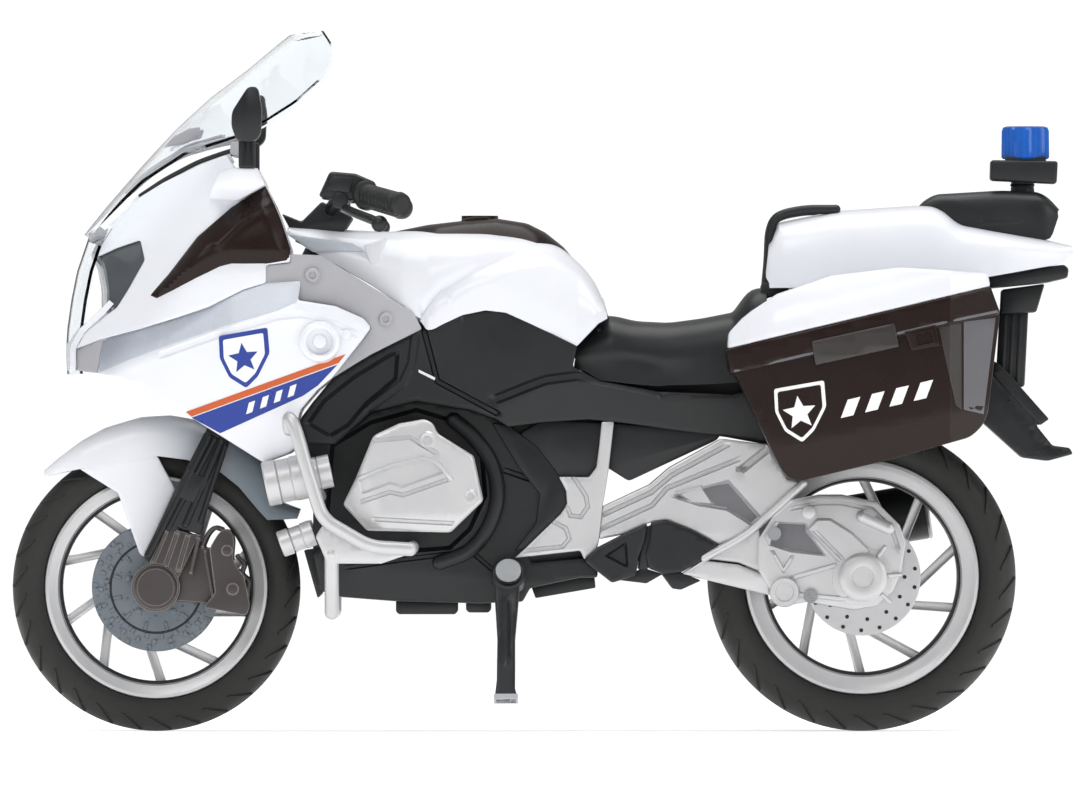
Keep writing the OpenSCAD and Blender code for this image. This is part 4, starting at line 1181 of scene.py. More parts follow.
def tank_and_seat():
    bm = mapped(140, 96, tank_at)
    add_piece("tank_shell", thickened(bm, -1.0), "chassis", "white_plastic", ["tank_cover"], smooth=38)
    cheek = draped([(-44.5, 86.6), (-33, 84.9), (-31, 83.5), (-40, 83.4)],
                   lambda x, z: 15.6 + 0.04 * (x + 40), 0.8, 0.2, 2)
    wedge = draped([(-31.2, 84.6), (-29, 78.2), (-27, 85.9)], lambda x, z: 16.9 - 0.06 * (z - 78), 0.8,
                   0.25, 2)
    # The grey of the tank's front cheeks is painted shade.
    add_piece("tank_front_shade_cheeks", both_sides(cheek), "chassis", "grey_plastic", finish=PAINTED_SHADE_GREY)
    add_piece("tank_wedges", both_sides(wedge), "chassis", "white_plastic")
    add_piece("tank_pad_shaped", thickened(mapped(48, 24, pad_at), -0.8), "chassis", "brown_plastic",
              ["tank_pad"])
    cap = plate([(-14.5, 88.1), (-14.4, 89.0), (-13.4, 89.5), (-12, 89.7), (-9.6, 89.7), (-9.2, 89.2),
                 (-7, 89.1), (-6.3, 88.2)], -4.1, 4.1, 0.35, 2)
    turned = moved(lathe([(0, 0), (2.9, 0), (3.2, -0.3), (3.2, -0.9), (0, -0.9)], (0, 0, 0), 40),
                   Matrix.Translation((-11, 0, 89.0)) @ Matrix.Rotation(math.radians(-90), 4, "X"))
    add_piece("filler_cap_shaped", joined(cap, turned), "chassis", "brown_plastic", ["filler_cap"])
    seat_top = [(5.8, 67), (10.5, 71.2), (12, 71.3), (16, 70.3), (22, 70), (28, 70.8), (34.5, 72.1),
                (36, 75.8), (39, 76.2)]
    seat_foot = [(5.8, 63.4), (10, 61), (20, 60), (39, 61)]
    shape = vault(seat_top, seat_foot, lambda x: 13.5 - 0.18 * max(0, 12 - x), 5, 5.8, 39)

    def seat_at(u, v):
        at = shape(u, v)
        crease = 63.8 + 0.9 * math.sin((at.x - 6) * 0.22)
        at.y -= math.copysign(0.5 * math.exp(-((at.z - crease) / 0.7) ** 2), at.y) if abs(at.y) > 11 else 0
        return at

    seat = add_piece("seat_padded", thickened(mapped(66, 48, seat_at), -1.2), "chassis",
                               "black_plastic", ["seat"], smooth=45)
    seam_top = [(9.5, 70.6), (16, 69.6), (22, 69.3), (28, 70.0), (35, 71.6)]
    piping = tube([(x, -12.6, z - 0.7) for x, z in seam_top], 0.3)
    add_piece("seat_piping", both_sides(piping), "chassis", "black_plastic")
    return seat


# Frame, engine and side panels

PANEL = [(-42.3, 54.2), (-40, 57.3), (-36.5, 61.5), (-30, 65.5), (-21, 70), (-20, 69.8), (-14, 72.6),
         (-10, 73.4), (-6.5, 73), (-2, 71), (6, 67.1), (5.2, 63.5), (10, 61), (20, 59.2), (33, 58.7),
         (40, 60.5), (40, 52), (39, 50), (32, 51.3), (24, 52.3), (14, 53.7), (8, 54.3), (0, 53.8), (-6, 53),
         (-8.5, 54.5), (-13, 56), (-22, 57.5), (-30, 55.5), (-36, 50), (-41, 50)]
PANEL_HALF = [(-43, 19.8), (-20, 17.4), (6, 16.9), (20, 15.6), (40, 13.8)]
PANEL_RIDGE = [(-12, 55.6), (-6, 57), (0, 60), (6, 60.8), (12, 59.8), (20, 58), (40, 57.6)]
PANEL_RECESS = [(-41.3, 53.5), (-38.3, 57.8), (-33, 62), (-26.5, 66), (-24.8, 66.3), (-25.2, 61.2),
                (-30.4, 56.8), (-33.6, 53), (-37, 51)]
PANEL_FRAME = [(-20.6, 69.6), (-19, 63.5), (-18.4, 61), (-8, 55.4)]


def panel_depth(x, z):
    """Half width of the black side panel."""
    out = smooth_along(PANEL_HALF, x)
    if x > -14:
        ridge = smooth_along(PANEL_RIDGE, x)
        out -= 0.14 * above(ridge - z, 0.3) + 0.05 * above(z - 66, 1)
    return out


PANEL_MARKS = [("field", PANEL_RECESS, 0.8, 1.0), ("line", PANEL_FRAME, 0.6, 0.8),
               ("line", [(-22, 70), (-22.8, 64), (-24.4, 60.5), (-30, 56.4)], 0.9, -0.4),
               ("line", [(-8, 57.9), (-3, 59.9), (0.5, 61.2), (6, 61.9), (12, 60.9), (20, 59.1)], 1.0, 0.7)]


def side_panel():
    return draped(PANEL, panel_depth, 3, 0.4, 0.8, inner=11.6, marks=PANEL_MARKS)


def cheek_depth(x, z):
    """Black block round the cylinder, tucked in toward the ground."""
    return 13.2 - 0.25 * above(27.5 - z - 0.1 * (x + 20), 0.4)


CHEEK_MARKS = [("field", [(-37, 50), (-30, 54.2), (-22, 56.4), (-14, 54), (-10.2, 48), (-9.6, 41),
                          (-12.4, 35), (-16, 31.6), (-34, 30.2), (-38, 36)], 0.8, 1.2),
               ("line", [(-6.4, 45.4), (-3, 44.2), (1.6, 43.2)], 0.6, 0.7),
               ("line", [(-34, 28.6), (-24, 30), (-12.5, 31.4), (-5, 25)], 0.5, 0.5)]


def panel_slit():
    """Pale latch that shows in the gap of the side panel."""
    return raised([(-21.6, 63), (-18.7, 61.6), (-18.8, 61.1), (-21.6, 62.5)], panel_depth, 0.5, step=2)


def engine_tube():
    """Curved frame tube that runs down round the back of the cylinder."""
    return bar([(-15.5, -13.6, 54.2), (-12, -13.8, 51.4), (-8.6, -13.8, 46.6), (-7.6, -13.8, 41),
                (-9.2, -13.8, 35.6), (-12.6, -13.6, 31.2), (-18, -13, 29.4)], 1.35, 2.5)


ENGINE_CHEEK = [(-41.5, 50.5), (-36, 50.5), (-30, 55.8), (-22, 57.8), (-13, 56.3), (-8.5, 54.8), (-6, 53.2),
                (-1, 49.5), (2.7, 44.4), (4, 42), (4.2, 39.5), (3, 37.8), (-3, 32), (-2, 29.4), (6.8, 30.2),
                (9.6, 28.6), (9.5, 26.8), (6.5, 26.8), (-2.2, 25), (-3.5, 22.6), (-11, 22.3), (-26, 22.7),
                (-35, 23.4), (-38.8, 24.5), (-40, 31), (-37, 33), (-41.5, 43)]


CYLINDER = [(-20.4, 54.4), (-25, 53.6), (-29.4, 51.5), (-32.5, 44), (-34.7, 39.5), (-30.5, 35), (-16, 34.7),
            (-10.3, 40.2), (-12, 48), (-18.3, 51.9), (-19, 53.6)]
COVER_LINES = [[(-32, 44), (-26, 46.3), (-20.5, 47.5), (-18, 46.5), (-16.2, 44.2)],
               [(-31, 40.2), (-26.5, 41.7), (-24.2, 41.2), (-16.7, 43.8)],
               [(-29, 37), (-22, 36.6), (-16, 36.3)]]


def cylinder_depth(x, z):
    """Half width of the cylinder cover, with its edges turned in."""
    out = 28.8 - 0.25 * above(x + 16, 0.6) - 0.5 * above(-30.5 - x + (44 - z) * 0.3, 0.3)
    return out - 0.25 * above(37.4 - z, 0.3) - 0.22 * above(z - 51, 0.4)


COVER_MARKS = [("field", [(-31.4, 41.2), (-26.4, 43), (-24.4, 42.3), (-17, 45), (-19.2, 47.2),
                          (-21.6, 47.6), (-26.6, 46.2), (-32, 43.8)], 0.5, 0.6),
               ("line", COVER_LINES[0], 0.5, -0.45), ("line", COVER_LINES[1], 0.45, 0.5),
               ("line", COVER_LINES[2], 0.45, 0.5),
               ("line", [(-29.6, 50.6), (-23, 51.2), (-18.4, 48.4)], 0.5, 0.4)]


def cylinder_cover():
    cover = draped(CYLINDER, cylinder_depth, 3, 0.6, 0.7, inner=13, steps=3, marks=COVER_MARKS)
    return joined(cover, screw_head(-20, 50.8, 1.5, -29.0, -27), screw_head(-12.6, 41, 1.3, -28.3, -26))


def crash_bar():
    """Bent guard tube with its lower leg, on the left."""
    loop = bar([(-43.9, -27.2, 52.6), (-44.1, -28.6, 55), (-42.8, -29.6, 52.6), (-41, -30, 46),
                (-38.2, -30, 37), (-30, -30, 32.2), (-23, -28.4, 31.8)], 1.2, 2.4)
    stub = bar([(-23.4, -28.4, 31.8), (-22.6, -25, 32.0), (-22.6, -14, 32.2)], 1.05, 1.2)
    leg = bar([(-36.6, -28.6, 31), (-36.6, -26.6, 25.4), (-36.6, -24, 20.8)], 1.25)
    web = draped([(-39.4, 34), (-37.4, 29.3), (-28, 29.3), (-23.6, 30.8), (-31, 32.2), (-38.2, 36)],
                 lambda x, z: 29.6 - 0.2 * above(31 - z, 0.5), 1.4, 0.4, 1.2)
    return joined(loop, stub, leg, web)


def lamp(x, z, lean, radii, run):
    """Stepped, ribbed lamp body whose axis leans back and up."""
    profile = [(0, 0.5), (radii[0] - 1.1, 0.5), (radii[0] - 0.9, 0)]
    for i, radius in enumerate(radii):
        y = run * i / len(radii)
        profile += [(radius - 0.25, y), (radius, y + 0.25), (radius, y + run / len(radii) - 0.12)]
    profile.append((0, run))
    turn = Vector((math.cos(lean), 0, math.sin(lean))).to_track_quat("Y", "Z").to_matrix().to_4x4()
    return moved(lathe(profile, (0, 0, 0), 48), Matrix.Translation((x, -24.6, z)) @ turn)


def fog_lamp():
    """Two ribbed lamps on a bracket, one over the other."""
    low = math.radians(12)
    upper = lamp(-48.2, 43, low, [3.9, 3.75, 3.9, 2.9, 2.9], 11.8)
    lower = lamp(-45.6, 32.6, math.radians(20), [2.3, 2.15, 2.3], 6.2)
    bracket = bar([(-42, -24.6, 44.5), (-39, -22, 42), (-38.5, -14, 41)], 0.9)
    return joined(upper, lower, bracket)


def belly():
    """Two feet under the engine, and the tilted one behind them."""
    front = plate([(-25.6, 22.8), (-25.6, 20.9), (-25.1, 20.4), (-15.3, 20.4), (-14.8, 20.9),
                   (-14.8, 22.8)], -9, 9,
                  0.2)
    middle = plate([(-13.4, 22.8), (-13.4, 21.2), (-12.9, 20.7), (-9.5, 20.7), (-9, 21.2), (-9, 22.8)], -9,
                   9, 0.2)
    back = plate([(-1.3, 23.2), (9.2, 25), (9, 26.9), (6.5, 27.2), (-2, 25.2)], -9, 9, 0.2)
    return joined(front, middle, back)


def footrest_plate():
    """Silver hanger plate with two U-shaped sunk lines."""
    outline = [(10.2, 54), (12.4, 54), (11.5, 46), (10.4, 39.2), (9.8, 33.5), (9.4, 31.8), (7.2, 29.9),
               (6.5, 31.5), (-5, 30.2), (-3, 32), (3, 37.8), (4.2, 39.5), (4, 42), (2.7, 44.4), (8, 44.3),
               (9.3, 46), (9.8, 50)]
    lines = [[(5.4, 44.2), (7.5, 41), (7.8, 39.2), (6.6, 37.4), (4.8, 37.6), (4.3, 39)],
             [(1.8, 36.6), (4.0, 35.4), (4.6, 33.6), (3.4, 32.2), (-2.5, 31.6)]]
    return draped(outline, lambda x, z: 15.3, 3.6, 0.35, 1.0, inner=11.6,
                  marks=[("line", line, 0.45, 0.55) for line in lines])


def heel_guard():
    """Black guard in two halves, with a strap and a tip below."""
    front = [(7.2, 29.7), (9.5, 32), (14, 34.3), (18.2, 36.2), (17.6, 33), (16.6, 30.2), (16.2, 27.2),
             (12, 25.9)]
    back = [(18.9, 36.4), (21.5, 36.8), (26, 35), (30.5, 32.5), (27.8, 29.7), (24, 27.7), (21, 27.4),
            (18.4, 28.4), (17.8, 30.8), (18.6, 33.6)]
    tip = [(20.5, 27.6), (22.5, 24.9), (24, 24.7), (27.5, 26.3), (24, 27.7)]
    return joined(
        draped(front, lambda x, z: 16.9, 4, 0.4, 1.0, inner=12.2,
               marks=[("field", [(10.5, 30.6), (14.6, 33.2), (15, 28.2)], 0.5, 0.9)]),
        draped(back, lambda x, z: 16.6 - 0.12 * above(x - 25, 0.3), 4, 0.4, 1.0, inner=12.2),
        plate([(17.4, 35.4), (19.2, 36), (18.2, 28.2), (16.6, 28.2)], -15.8, -12.4, 0.2),
        plate(tip, -16, -13, 0.25), plate([(13, 26.4), (17.6, 28.4), (20.8, 27.4), (18, 25.8)], -15.6, -13,
                                          0.2))


SUBFRAME = [(9.8, 33.5), (10.4, 39.2), (18.5, 43), (22, 46), (31, 51), (39, 50), (42.5, 44), (45.5, 43.4),
            (39.5, 37.8), (35, 33.8), (30.5, 32.5), (26, 35), (21.5, 36.8), (18.5, 36.3), (14, 34.3)]


SUBFRAME_MARKS = [
    ("field", [(21.5, 41), (32.3, 43.9), (38.2, 37.3), (36.4, 35.6), (32, 38.4), (27, 39.2)], 0.5, 1.1),
    ("line", [(10.6, 37.8), (18.8, 41.6), (22.4, 44.6), (31.6, 49.6)], 0.5, 0.8),
    ("line", [(10.4, 35.4), (19, 39.4), (21.6, 42.4), (34, 47.4)], 0.5, 0.8),
    ("line", [(34.8, 45.8), (38.8, 49.0)], 0.8, 1.4),
    ("field", [(22.5, 41.8), (27.6, 43), (30, 39.4), (26, 39.6)], 0.4, -0.7)]


def subframe_depth(x, z):
    return 15.2 - 0.1 * above(34.5 - z, 0.3)


def subframe_side():
    """Left frame plate with its rod, and the dark fillers behind it."""
    panel = draped(SUBFRAME, subframe_depth, 3, 0.35, 1.0, inner=11.7, marks=SUBFRAME_MARKS)
    rod = bar([(28, -15.7, 30.2), (35, -15.7, 33.9), (39.5, -15.7, 37.9), (45.3, -15.7, 43.2)], 0.75, 3)
    filler = plate([(0, 44), (10.6, 44), (10.8, 53.8), (0, 54.2), (-4, 52)], -14, -11.4, 0.5)
    rear = plate([(11.6, 53.8), (31, 52), (30.4, 50.8), (15, 43.6), (11.2, 46)], -13.6, -11.4, 0.5)
    return joined(panel, rod), joined(filler, rear)


def chassis_middle():
    add_piece("side_panel_shaped_left", side_panel(), "chassis",
              "black_plastic", ["side_panel_left"])
    add_piece("side_panel_shaped_right", mirrored(side_panel()), "chassis",
              "black_plastic", ["side_panel_right"])
    add_piece("side_panel_latches", both_sides(panel_slit()), "chassis", "white_plastic")
    cheek = draped(ENGINE_CHEEK, cheek_depth, 3, 0.4, 1.0, inner=10.5, marks=CHEEK_MARKS)
    spar = plate([(-9, 53.8), (-6, 53.4), (-1, 49.6), (2.9, 44.5), (4.2, 42), (4.4, 39.5), (3.2, 37.6),
                  (-2.8, 31.8), (-5, 31.4), (-1.2, 36.4), (-0.6, 41.4), (-4, 45.6)], -14.5, -12, 0.5)
    cheeks = both_sides(joined(cheek, spar, engine_tube()))
    tunnel = plate([(-40, 31), (-38.8, 25), (-35, 24), (-3.5, 23.2), (-2.2, 25.6), (9.2, 27.2), (9.5, 52),
                    (24, 54), (24, 57), (-10, 57), (-20, 59.5), (-36, 59), (-40, 56)], -11, 11, 0.4)
    spike = plate([(-41.6, 31.6), (-38.6, 32), (-38.4, 24), (-39.2, 23.2)], -12, -8, 0.25)
    add_piece("engine_cheeks", joined(cheeks, tunnel, both_sides(spike)), "chassis", "black_plastic",
              ["engine_block"])
    add_piece("belly_feet", belly(), "chassis", "black_plastic", ["belly_plates"])
    add_piece("cylinder_covers_shaped", both_sides(cylinder_cover()), "chassis", "silver_paint",
              ["cylinder_covers"])
    add_piece("crash_bars_bent", both_sides(crash_bar()), "chassis", "silver_paint", ["crash_bars"])
    add_piece("fog_lamps_ribbed", both_sides(fog_lamp()), "chassis", "silver_paint", ["fog_lamps"])
    add_piece("footrest_plates_shaped", both_sides(footrest_plate()), "chassis", "silver_paint",
              ["footrest_plates"])
    add_piece("heel_guards_shaped", both_sides(heel_guard()), "chassis", "black_plastic", ["heel_guards"])
    # Painted shade: a darker grey sheet on the floor of the subframe's recess.
    shade = raised([(22.4, 41.2), (32.2, 43.2), (37.3, 37.4), (36.2, 36.4), (32, 39), (27.2, 39.8)],
                   subframe_depth, -0.98)
    add_piece("subframe_recess_shade", both_sides(shade), "chassis", "silver_paint", finish=SILVER_PAINTED_SHADE)
    silver, black = subframe_side()
    add_piece("subframe_shaped", both_sides(silver), "chassis", "silver_paint", ["subframe"])
    add_piece("frame_fillers", both_sides(black), "chassis", "black_plastic")
    blade = draped([(24, 27.5), (27.8, 29.8), (34, 29.1), (38, 27.4), (39.7, 26), (39.5, 23.7)],
                   lambda x, z: 16.2 - 0.15 * above(26.5 - z, 0.5), 3, 0.4, 0.8, inner=10.2)
    arm = draped([(28, 30.1), (30.5, 32.5), (35, 33.8), (37.5, 36), (38.5, 30), (39.6, 27), (34, 29.4)],
                 lambda x, z: 15.4, 3, 0.3, 1.2, inner=10.2)
    add_piece("swing_arm_shaped", joined(blade, arm), "chassis", "silver_paint", ["swing_arm"])


# Motor cover, muffler

HOUSING = [(37.5, 33.5), (40, 37.5), (43, 40.2), (48, 41.2), (52, 41.2), (58, 40), (62, 36), (63.2, 33),
           (62.4, 28), (61, 24.5), (58, 21.8), (54, 21.2), (46, 22.6), (42, 21.9), (39.6, 24.5), (37.5, 28)]


def cover_depth(x, z):
    """Half width of the motor cover, domed about its middle."""
    return 17.0 - 0.09 * above(math.hypot(x - 53, z - 31) - 7.5, 0.5)


MOTOR_MARKS = [
    ("field", [(40.2, 36.6), (46, 36.4), (46, 35), (49.5, 30.4), (43, 31.2), (39.2, 32.4), (38.4, 34)], 0.4,
     0.7),
    ("field", [(45.6, 35.2), (47.6, 37.2), (50, 37.2), (53.8, 34.8), (57.4, 31.4), (52.5, 28.2),
               (50.4, 30.2)],
     0.5, -0.8),
    ("line", [(47.4, 34.8), (51.8, 30.4)], 0.4, 0.5),
    ("line", [(40.2, 30.8), (41.8, 28), (43.2, 30.2)], 0.4, -0.6),
    ("line", [(43.4, 26.8), (51, 29)], 0.5, -0.6),
    ("line", [(44, 23.9), (53.6, 23)], 0.5, -0.6),
    ("line", [(43.4, 38.9), (48, 39.8), (52, 39.8), (57.2, 38.7), (60.7, 35.2), (61.6, 32.4)], 0.45, 0.45)]


def motor_cover():
    cover = draped(HOUSING, cover_depth, 1.1, 0.4, 0.9, marks=MOTOR_MARKS)
    capsule = bar([(55.6, -17.2, 37.4), (60, -17.1, 35.4)], 1.2)
    hub = lathe([(0, -18.3), (1.8, -18.3), (1.9, -18.6), (3.2, -18.8), (3.8, -18.6), (4.2, -18.2),
                 (4.3, -17.4), (5.2, -17.3), (5.3, -16.4), (0, -16.4)], REAR, 64)
    low = lathe([(0, -18.0), (1.5, -18.0), (1.7, -18.3), (2.4, -18.3), (2.6, -17.9), (2.6, -16.4),
                 (0, -16.4)],
                (42, 24.3), 40)
    high = boss(46.2, 38.2, 1.2, -17.9, -16.4, 0.35, 28)
    tabs = []
    for degrees in (54, 4, -42):
        x0, z0 = polar(REAR, 4.6, degrees)
        x1, z1 = polar(REAR, 6.4, degrees)
        tabs.append(bar([(x0, -17.4, z0), (x1, -17.2, z1)], 0.4))
    return joined(cover, capsule, hub, low, high, *tabs)


def along_muffler(bm):
    """From a plain lathe axis onto the silencer's leaning one."""
    lean = Vector((math.cos(math.radians(9.4)), 0, math.sin(math.radians(9.4))))
    turn = lean.to_track_quat("Y", "Z").to_matrix().to_4x4()
    return moved(bm, Matrix.Translation((31, 20.8, 32.4)) @ turn)


def muffler_lip():
    """Bright ring round the silencer's mouth."""
    return along_muffler(lathe([(4.2, 36.6), (4.9, 36.5), (5.0, 36.9), (4.7, 37.2), (4.2, 37.1)], (0, 0, 0),
                               56, closed=True))


def muffler():
    """Round silencer on the right, with a rolled lip and a dark mouth."""
    profile = [(0, 1.5), (2.4, 1.5), (2.5, 0.2), (4.2, 0), (4.8, 0.5), (4.9, 1.2), (4.9, 6.8), (4.7, 7),
               (4.9, 7.2), (4.9, 33), (4.9, 36.2), (4.6, 36.9), (3.4, 37), (3.1, 36.7), (3.0, 32.2),
               (0, 32.2)]
    return along_muffler(lathe(profile, (0, 0, 0), 56))


# Luggage and tail

BAG = [(32, 66.4), (77.5, 77.3), (79.2, 72.7), (77, 55), (76, 53), (74, 51.2), (60, 47.3), (44.5, 43.6),
       (42.5, 44), (41, 46), (33.3, 62), (31.9, 63.2)]
BAG_CREASE = [(42, 49.4), (46, 50), (61, 53), (72, 55.6), (78, 57)]
BAG_HALF = [(31, 30.5), (33, 32.2), (36, 34.8), (40, 36.4), (46, 37.4), (70.5, 37.2), (80, 30.4)]
BAG_FOLDS = [[(70.5, 80), (70.5, 40)], [(46, 80), (46, 40)]]
LID_FOOT = [(32, 66.4), (77.5, 77.3)]
HANDLE = [(46.4, 67.8), (60.8, 71), (61.6, 66.8), (47.1, 63.6)]
LATCH = [(62.5, 69.4), (67.9, 70.6), (68.6, 67), (63.7, 66.1)]


def bag_depth(x, z):
    """Outer face of a side case: flat, with a lower facet and a rear one turned inward."""
    out = along(BAG_HALF, x) - 0.5 * above(along(BAG_CREASE, x) - z, 0.3)
    return out - 0.012 * above(62 - z, 2)


def rim_depth(x, z):
    """Outer face of the band round the top of a side case."""
    return bag_depth(x, z) + 0.85


def lid_depth(x, z):
    """Lid skin that curves in over the top of the bag toward the tail."""
    base = along(BAG_HALF, x) + 0.9
    rise = z - along(LID_FOOT, x)
    return base - 0.5 * above(rise - 5, 3) - 0.03 * max(0, rise) ** 2


LID = [(32, 66.5), (32.2, 69.3), (34.5, 71.8), (36, 73), (40.5, 76), (50, 79.2), (62, 80.6), (77, 79.6),
       (77.5, 77.3)]


def bag_side(flip):
    """Side case with its lid, handle, latch, trim and prints."""
    turn = mirrored if flip else unchanged
    name = "right" if flip else "left"
    body = draped(BAG, bag_depth, 3, 0.6, 1.6, inner=14.2, corner=1.0, steps=3,
                  folds=[BAG_CREASE] + BAG_FOLDS)
    rim = draped([(31.6, 66.3), (77.5, 77.3), (79.1, 73.0), (78.8, 72.4), (32.3, 62.3)], rim_depth, 3, 0.3,
                 1.6, inner=14.2, folds=BAG_FOLDS)
    frame_of_latch = draped(LATCH, lambda x, z: bag_depth(x, z) + 1.35, 1.2, 0.2, 2,
                            marks=[("field", [(64.4, 69), (67.1, 69.6), (67.5, 67.6), (64.8, 67.0)], 0.2,
                                    0.7)])
    add_piece("bag_" + name, turn(joined(body, rim, frame_of_latch)), "chassis", "brown_plastic",
              ["pannier_" + name], smooth=28)
    lid = draped(LID, lid_depth, 3, 0.5, 1.0, inner=13.9)
    add_piece("bag_lid_" + name, turn(lid), "chassis", "white_plastic", ["pannier_lid_" + name])
    grip = draped(HANDLE, lambda x, z: bag_depth(x, z) + 1.45, 1.4, 0.35, 2)
    add_piece("bag_handle_" + name, turn(grip), "chassis", "brown_plastic", finish=HANDLE_BROWN_AND_LIT_FACET)
    # The rear face's lighter grey is painted light, where the face turns toward the light.
    rear_face = raised([(72.8, 71.2), (72.8, 56), (76.3, 55.2), (78.4, 71.9)], bag_depth, 0.12, step=2)
    beading = tube([(x, -rim_depth(x, z) + 0.1, z) for x, z in ((33.2, 62.7), (40, 64.2), (46, 65.6),
                                                                (62, 69.3), (70.5, 71.3), (78.6, 73.0))],
                   0.26)
    add_piece("bag_trim_and_lit_rear_" + name, turn(joined(rear_face, beading)), "chassis", "brown_plastic",
              finish=CASE_GREY_LIT_REAR)
    # The hind facet's lighter brown is painted light.
    facet = raised([(68.4, 70.4), (72.4, 71.2), (72.4, 56), (71.4, 56.8)], bag_depth, 0.12, step=2)
    add_piece("bag_lit_facet_" + name, turn(facet), "chassis", "brown_plastic", finish=HANDLE_BROWN_AND_LIT_FACET)
    outer = shield_outline(44.3, 55.6, 9.4)
    inner = shield_outline(44.3, 55.6, 8.1)
    printed = [raised(star_outline(44.4, 55.4, 3.0), bag_depth, 0.24)]
    for i in range(4):
        x = 51.5 + i * 4.2
        z = 56.0 + 0.235 * (x - 51.5)
        printed.append(raised([(x, z - 1.5), (x + 2.2, z - 1.0), (x + 3.4, z + 2.2), (x + 1.2, z + 1.7)],
                              bag_depth, 0.08, step=2))
    add_piece("bag_shield_" + name, turn(joined(raised(outer, bag_depth, 0.08), *printed)), "chassis",
              "white_plastic", finish=INK_WHITE)
    add_piece("bag_shield_field_" + name, turn(raised(inner, bag_depth, 0.16)), "chassis", "brown_plastic")


def tail_and_lamps():
    tail_top = [(39.8, 80), (40.6, 87.6), (51, 89.7), (60, 90.3), (66, 90.7), (68.5, 90.5), (72, 87.4),
                (80, 85.9), (88, 84.6), (92, 83.6)]
    tail_foot = [(39.8, 77.2), (60, 77.2), (78, 79.2), (90, 81.5), (92, 83.4)]
    shape = vault(tail_top, tail_foot, lambda x: 14 - 0.45 * above(x - 80, 1.5) - 0.4 * above(43 - x, 1),
                  4.5, 39.8, 92)
    add_piece("tail_shell", thickened(mapped(104, 44, shape), -1.0), "chassis", "white_plastic",
              ["tail_box"], smooth=40)
    rail = [(38.9, 76.8), (39.4, 82), (39.6, 87), (40.4, 89.4), (42.4, 90.3), (46, 90.9), (51, 90.9)]
    side = joined(tube([(x, -8.5, z) for x, z in rail], 0.85, 1.5), ball((51, -8.5, 90.9), 0.85))
    cross = bar([(39.5, -8.5, 85.5), (39.5, 8.5, 85.5)], 0.7)
    pads = plate([(37.4, 74.8), (38.2, 78.2), (41.6, 78.2), (43, 77)], -10.5, -6.8, 0.35)
    add_piece("grab_rail_bent", joined(both_sides(joined(side, pads)), cross), "chassis", "black_plastic",
              ["grab_rail"])
    radio_top = [(66, 90.9), (68, 92.8), (80, 93.5), (87, 93.2), (89.5, 90.4)]
    radio_foot = [(66, 90.5), (70, 89.4), (72.5, 87), (80, 85.9), (86, 85.1), (88.3, 86), (89.5, 89.6)]
    radio = mapped(50, 36, vault(radio_top, radio_foot, lambda x: 6.4 - 0.5 * above(x - 87, 0.8), 6, 66,
                                 89.5))
    scoop = draped([(76, 88), (76.6, 90.2), (83.2, 90.4), (83.7, 88.6)],
                   lambda x, z: 7.3 - 0.3 * above(z - 88.8, 0.2), 1.2, 0.2, 1)
    add_piece("radio_box_shaped", joined(thickened(radio, -0.8), both_sides(scoop)), "chassis",
              "black_plastic", ["radio_box"])
    stem = moved(lathe([(0, 93), (2.5, 93), (2.5, 93.8), (2.1, 94), (2.0, 95), (2.2, 95.2), (2.0, 95.5),
                        (2.0, 96.4), (0, 96.4)], (0, 0, 0), 32), Matrix.Rotation(math.radians(90), 4, "X"))
    stand = joined(moved(stem, Matrix.Translation((83.7, 0, 0))),
                   plate([(78.1, 99.6), (89.8, 99.4), (89.6, 95.4), (78, 96)], -4.5, 4.5, 0.5, 3),
                   plate([(80.6, 100.2), (87.9, 100.2), (87.6, 99), (80.9, 99)], -3.7, 3.7, 0.3))
    add_piece("beacon_stand_shaped", stand, "chassis", "black_plastic", ["beacon_stand"])
    profile = [(0, 99.8), (3.9, 99.8), (4.2, 100.1), (4.15, 104.7), (3.9, 105.3), (3.3, 105.5), (0, 105.5)]
    dome = lathe(profile, (0, 0, 0), 96)
    for v in dome.verts:
        a = math.atan2(v.co.z, v.co.x)
        flute = 1 - 0.05 * (0.5 + 0.5 * math.cos(24 * a)) * min(1, math.hypot(v.co.x, v.co.z) / 4)
        v.co.x *= flute
        v.co.z *= flute
    dome = moved(dome, Matrix.Translation((84.2, 0, 0)) @ Matrix.Rotation(math.radians(90), 4, "X"))
    add_piece("beacon_lens_fluted", dome, "chassis", "blue_clear", ["beacon_lens"])


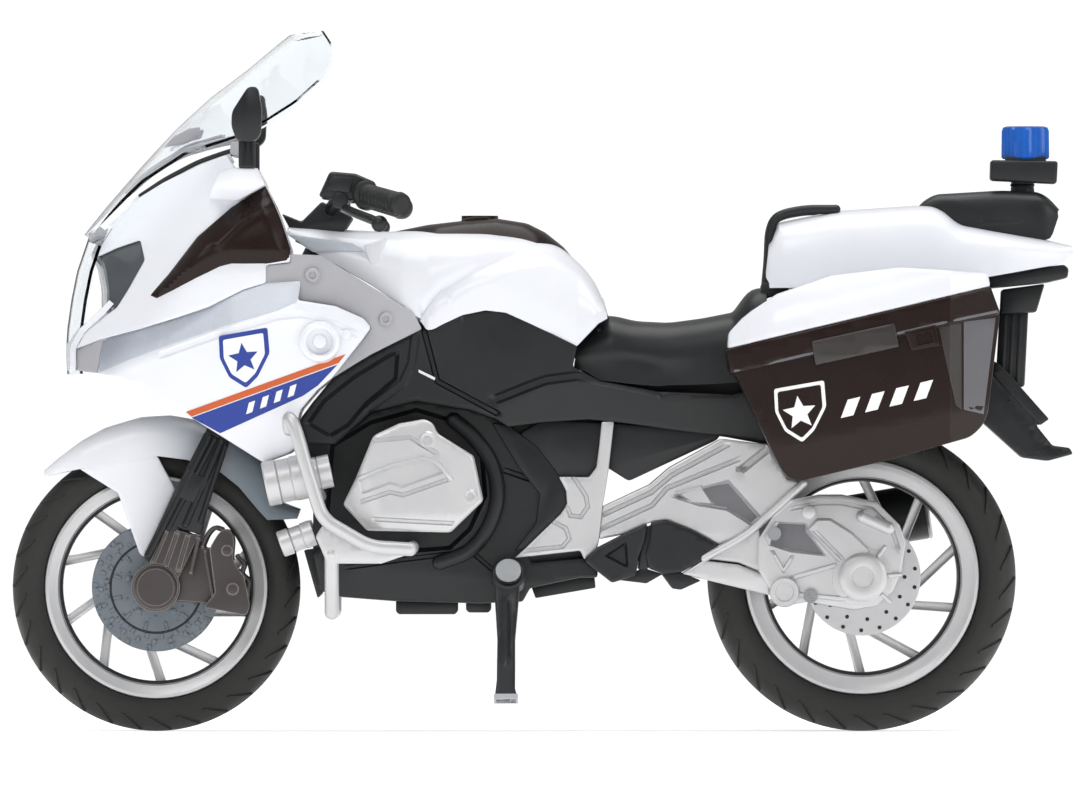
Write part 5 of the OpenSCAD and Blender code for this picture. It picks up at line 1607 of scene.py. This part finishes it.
def rear_end():
    rack = plate([(77.2, 79.1), (88, 81), (90.8, 81.3), (91.6, 80.6), (91.4, 79), (88, 78.2), (78, 77.2)],
                 -9, 9, 0.4)
    slots = [plate([(80.5, 79.8), (88, 81.2), (88, 81.5), (80.4, 80.2)], y - 0.9, y + 0.9, 0.15)
             for y in (-6, -3, 0, 3, 6)]
    add_piece("rear_rack_ribbed", joined(rack, *slots), "chassis", "black_plastic", ["rear_rack"])
    block = plate([(80, 77), (87.5, 78), (86, 73), (79.8, 72.8)], -6, 6, 0.4)
    post = plate([(79.8, 74), (84.7, 74), (84.0, 60), (79, 60)], -4, 4, 0.5)
    ribs = [plate([(80.4 + 1.3 * i, 72.6), (81 + 1.3 * i, 72.6), (80.4 + 1.3 * i, 60.6),
                   (79.8 + 1.3 * i, 60.6)],
                  -4.3, -3.8, 0.12) for i in range(3)]
    flap = draped([(77.8, 65), (79.8, 63.8), (83.5, 59.5), (87, 54.7), (86, 53.3), (88.8, 49.8),
                   (91.8, 49.4), (92.4, 48.3), (88, 47.1), (83.5, 47.7), (76.5, 54)],
                  lambda x, z: 6.9 - groove(x, z, [(78.5, 61.5), (84, 54.5), (86.5, 50.2), (91, 48.8)], 0.5,
                                            0.4), 3,
                  0.35, 0.9, inner=0)
    top_plate = draped([(79, 64.3), (80.4, 63.2), (88.2, 54.4), (86.6, 53.3), (78.2, 62.2)],
                       lambda x, z: 7.7, 1.6, 0.25, 2)
    add_piece("rear_mudguard_shaped", joined(block, post, *ribs, both_sides(joined(flap, top_plate))),
              "chassis", "black_plastic", ["rear_mudguard"])


# Side stand


def stand_leg():
    """Folding leg: round boss, tapering shank with a channel, flat foot."""
    eye = lathe([(1.06, -1.4), (2.6, -1.4), (3.0, -1.0), (3.0, 1.4), (1.06, 1.4)], (0, 0, 0), 48,
                closed=True)
    shank = draped([(-2.4, -1.2), (2.0, -1.2), (1.7, -6), (1.2, -12), (1.2, -21.8), (1.4, -22.6),
                    (1.6, -23.8), (-2.4, -23.8), (-2.0, -20), (-1.9, -12), (-2.3, -5)],
                   lambda x, z: 1.2 - groove(x, z, [(-0.2, -5), (-0.4, -17)], 0.9, 0.5), 2.2, 0.3, 0.8)
    return moved(joined(eye, shank), IN_STAND)


def stand_tip():
    """Pale foot of the side stand."""
    return moved(plate([(-2.5, -22.9), (1.7, -22.9), (1.7, -23.8), (-2.5, -23.8)], -1.35, 1.2, 0.15),
                 IN_STAND)


def bare_nodes():
    """Inner CAD nodes keep their shape and take their slot's finish."""
    for part in frame["record"]["subparts"]:
        node = frame["nodes"][part["node"]]
        node.data.materials.clear()
        node.data.materials.append(FINISH[part["material_slot"]])


stage()
bare_nodes()
front_wheel()
rear_wheel()
front_end()
nose_and_fairing()
tank_and_seat()
chassis_middle()
add_piece("motor_cover", motor_cover(), "chassis", "silver_paint", ["drive_cover"])
# Painted shade: a darker grey sheet on the floor of the motor cover's recess.
add_piece("motor_cover_recess_shade", raised([(40.7, 36.2), (45.6, 36.0), (45.6, 34.8), (48.7, 30.9),
                                        (43.2, 31.6), (39.6, 32.7), (38.9, 33.9)], cover_depth, -0.62),
          "chassis", "silver_paint", finish=SILVER_PAINTED_SHADE)
add_piece("muffler_turned", muffler(), "chassis", "black_plastic", ["muffler"])
bag_side(False)
bag_side(True)
tail_and_lamps()
rear_end()
add_piece("muffler_lip", muffler_lip(), "chassis", "steel")
add_piece("side_stand_shaped", stand_leg(), "stand", "black_plastic", ["side_stand"])
add_piece("side_stand_tip", stand_tip(), "stand", "grey_plastic")
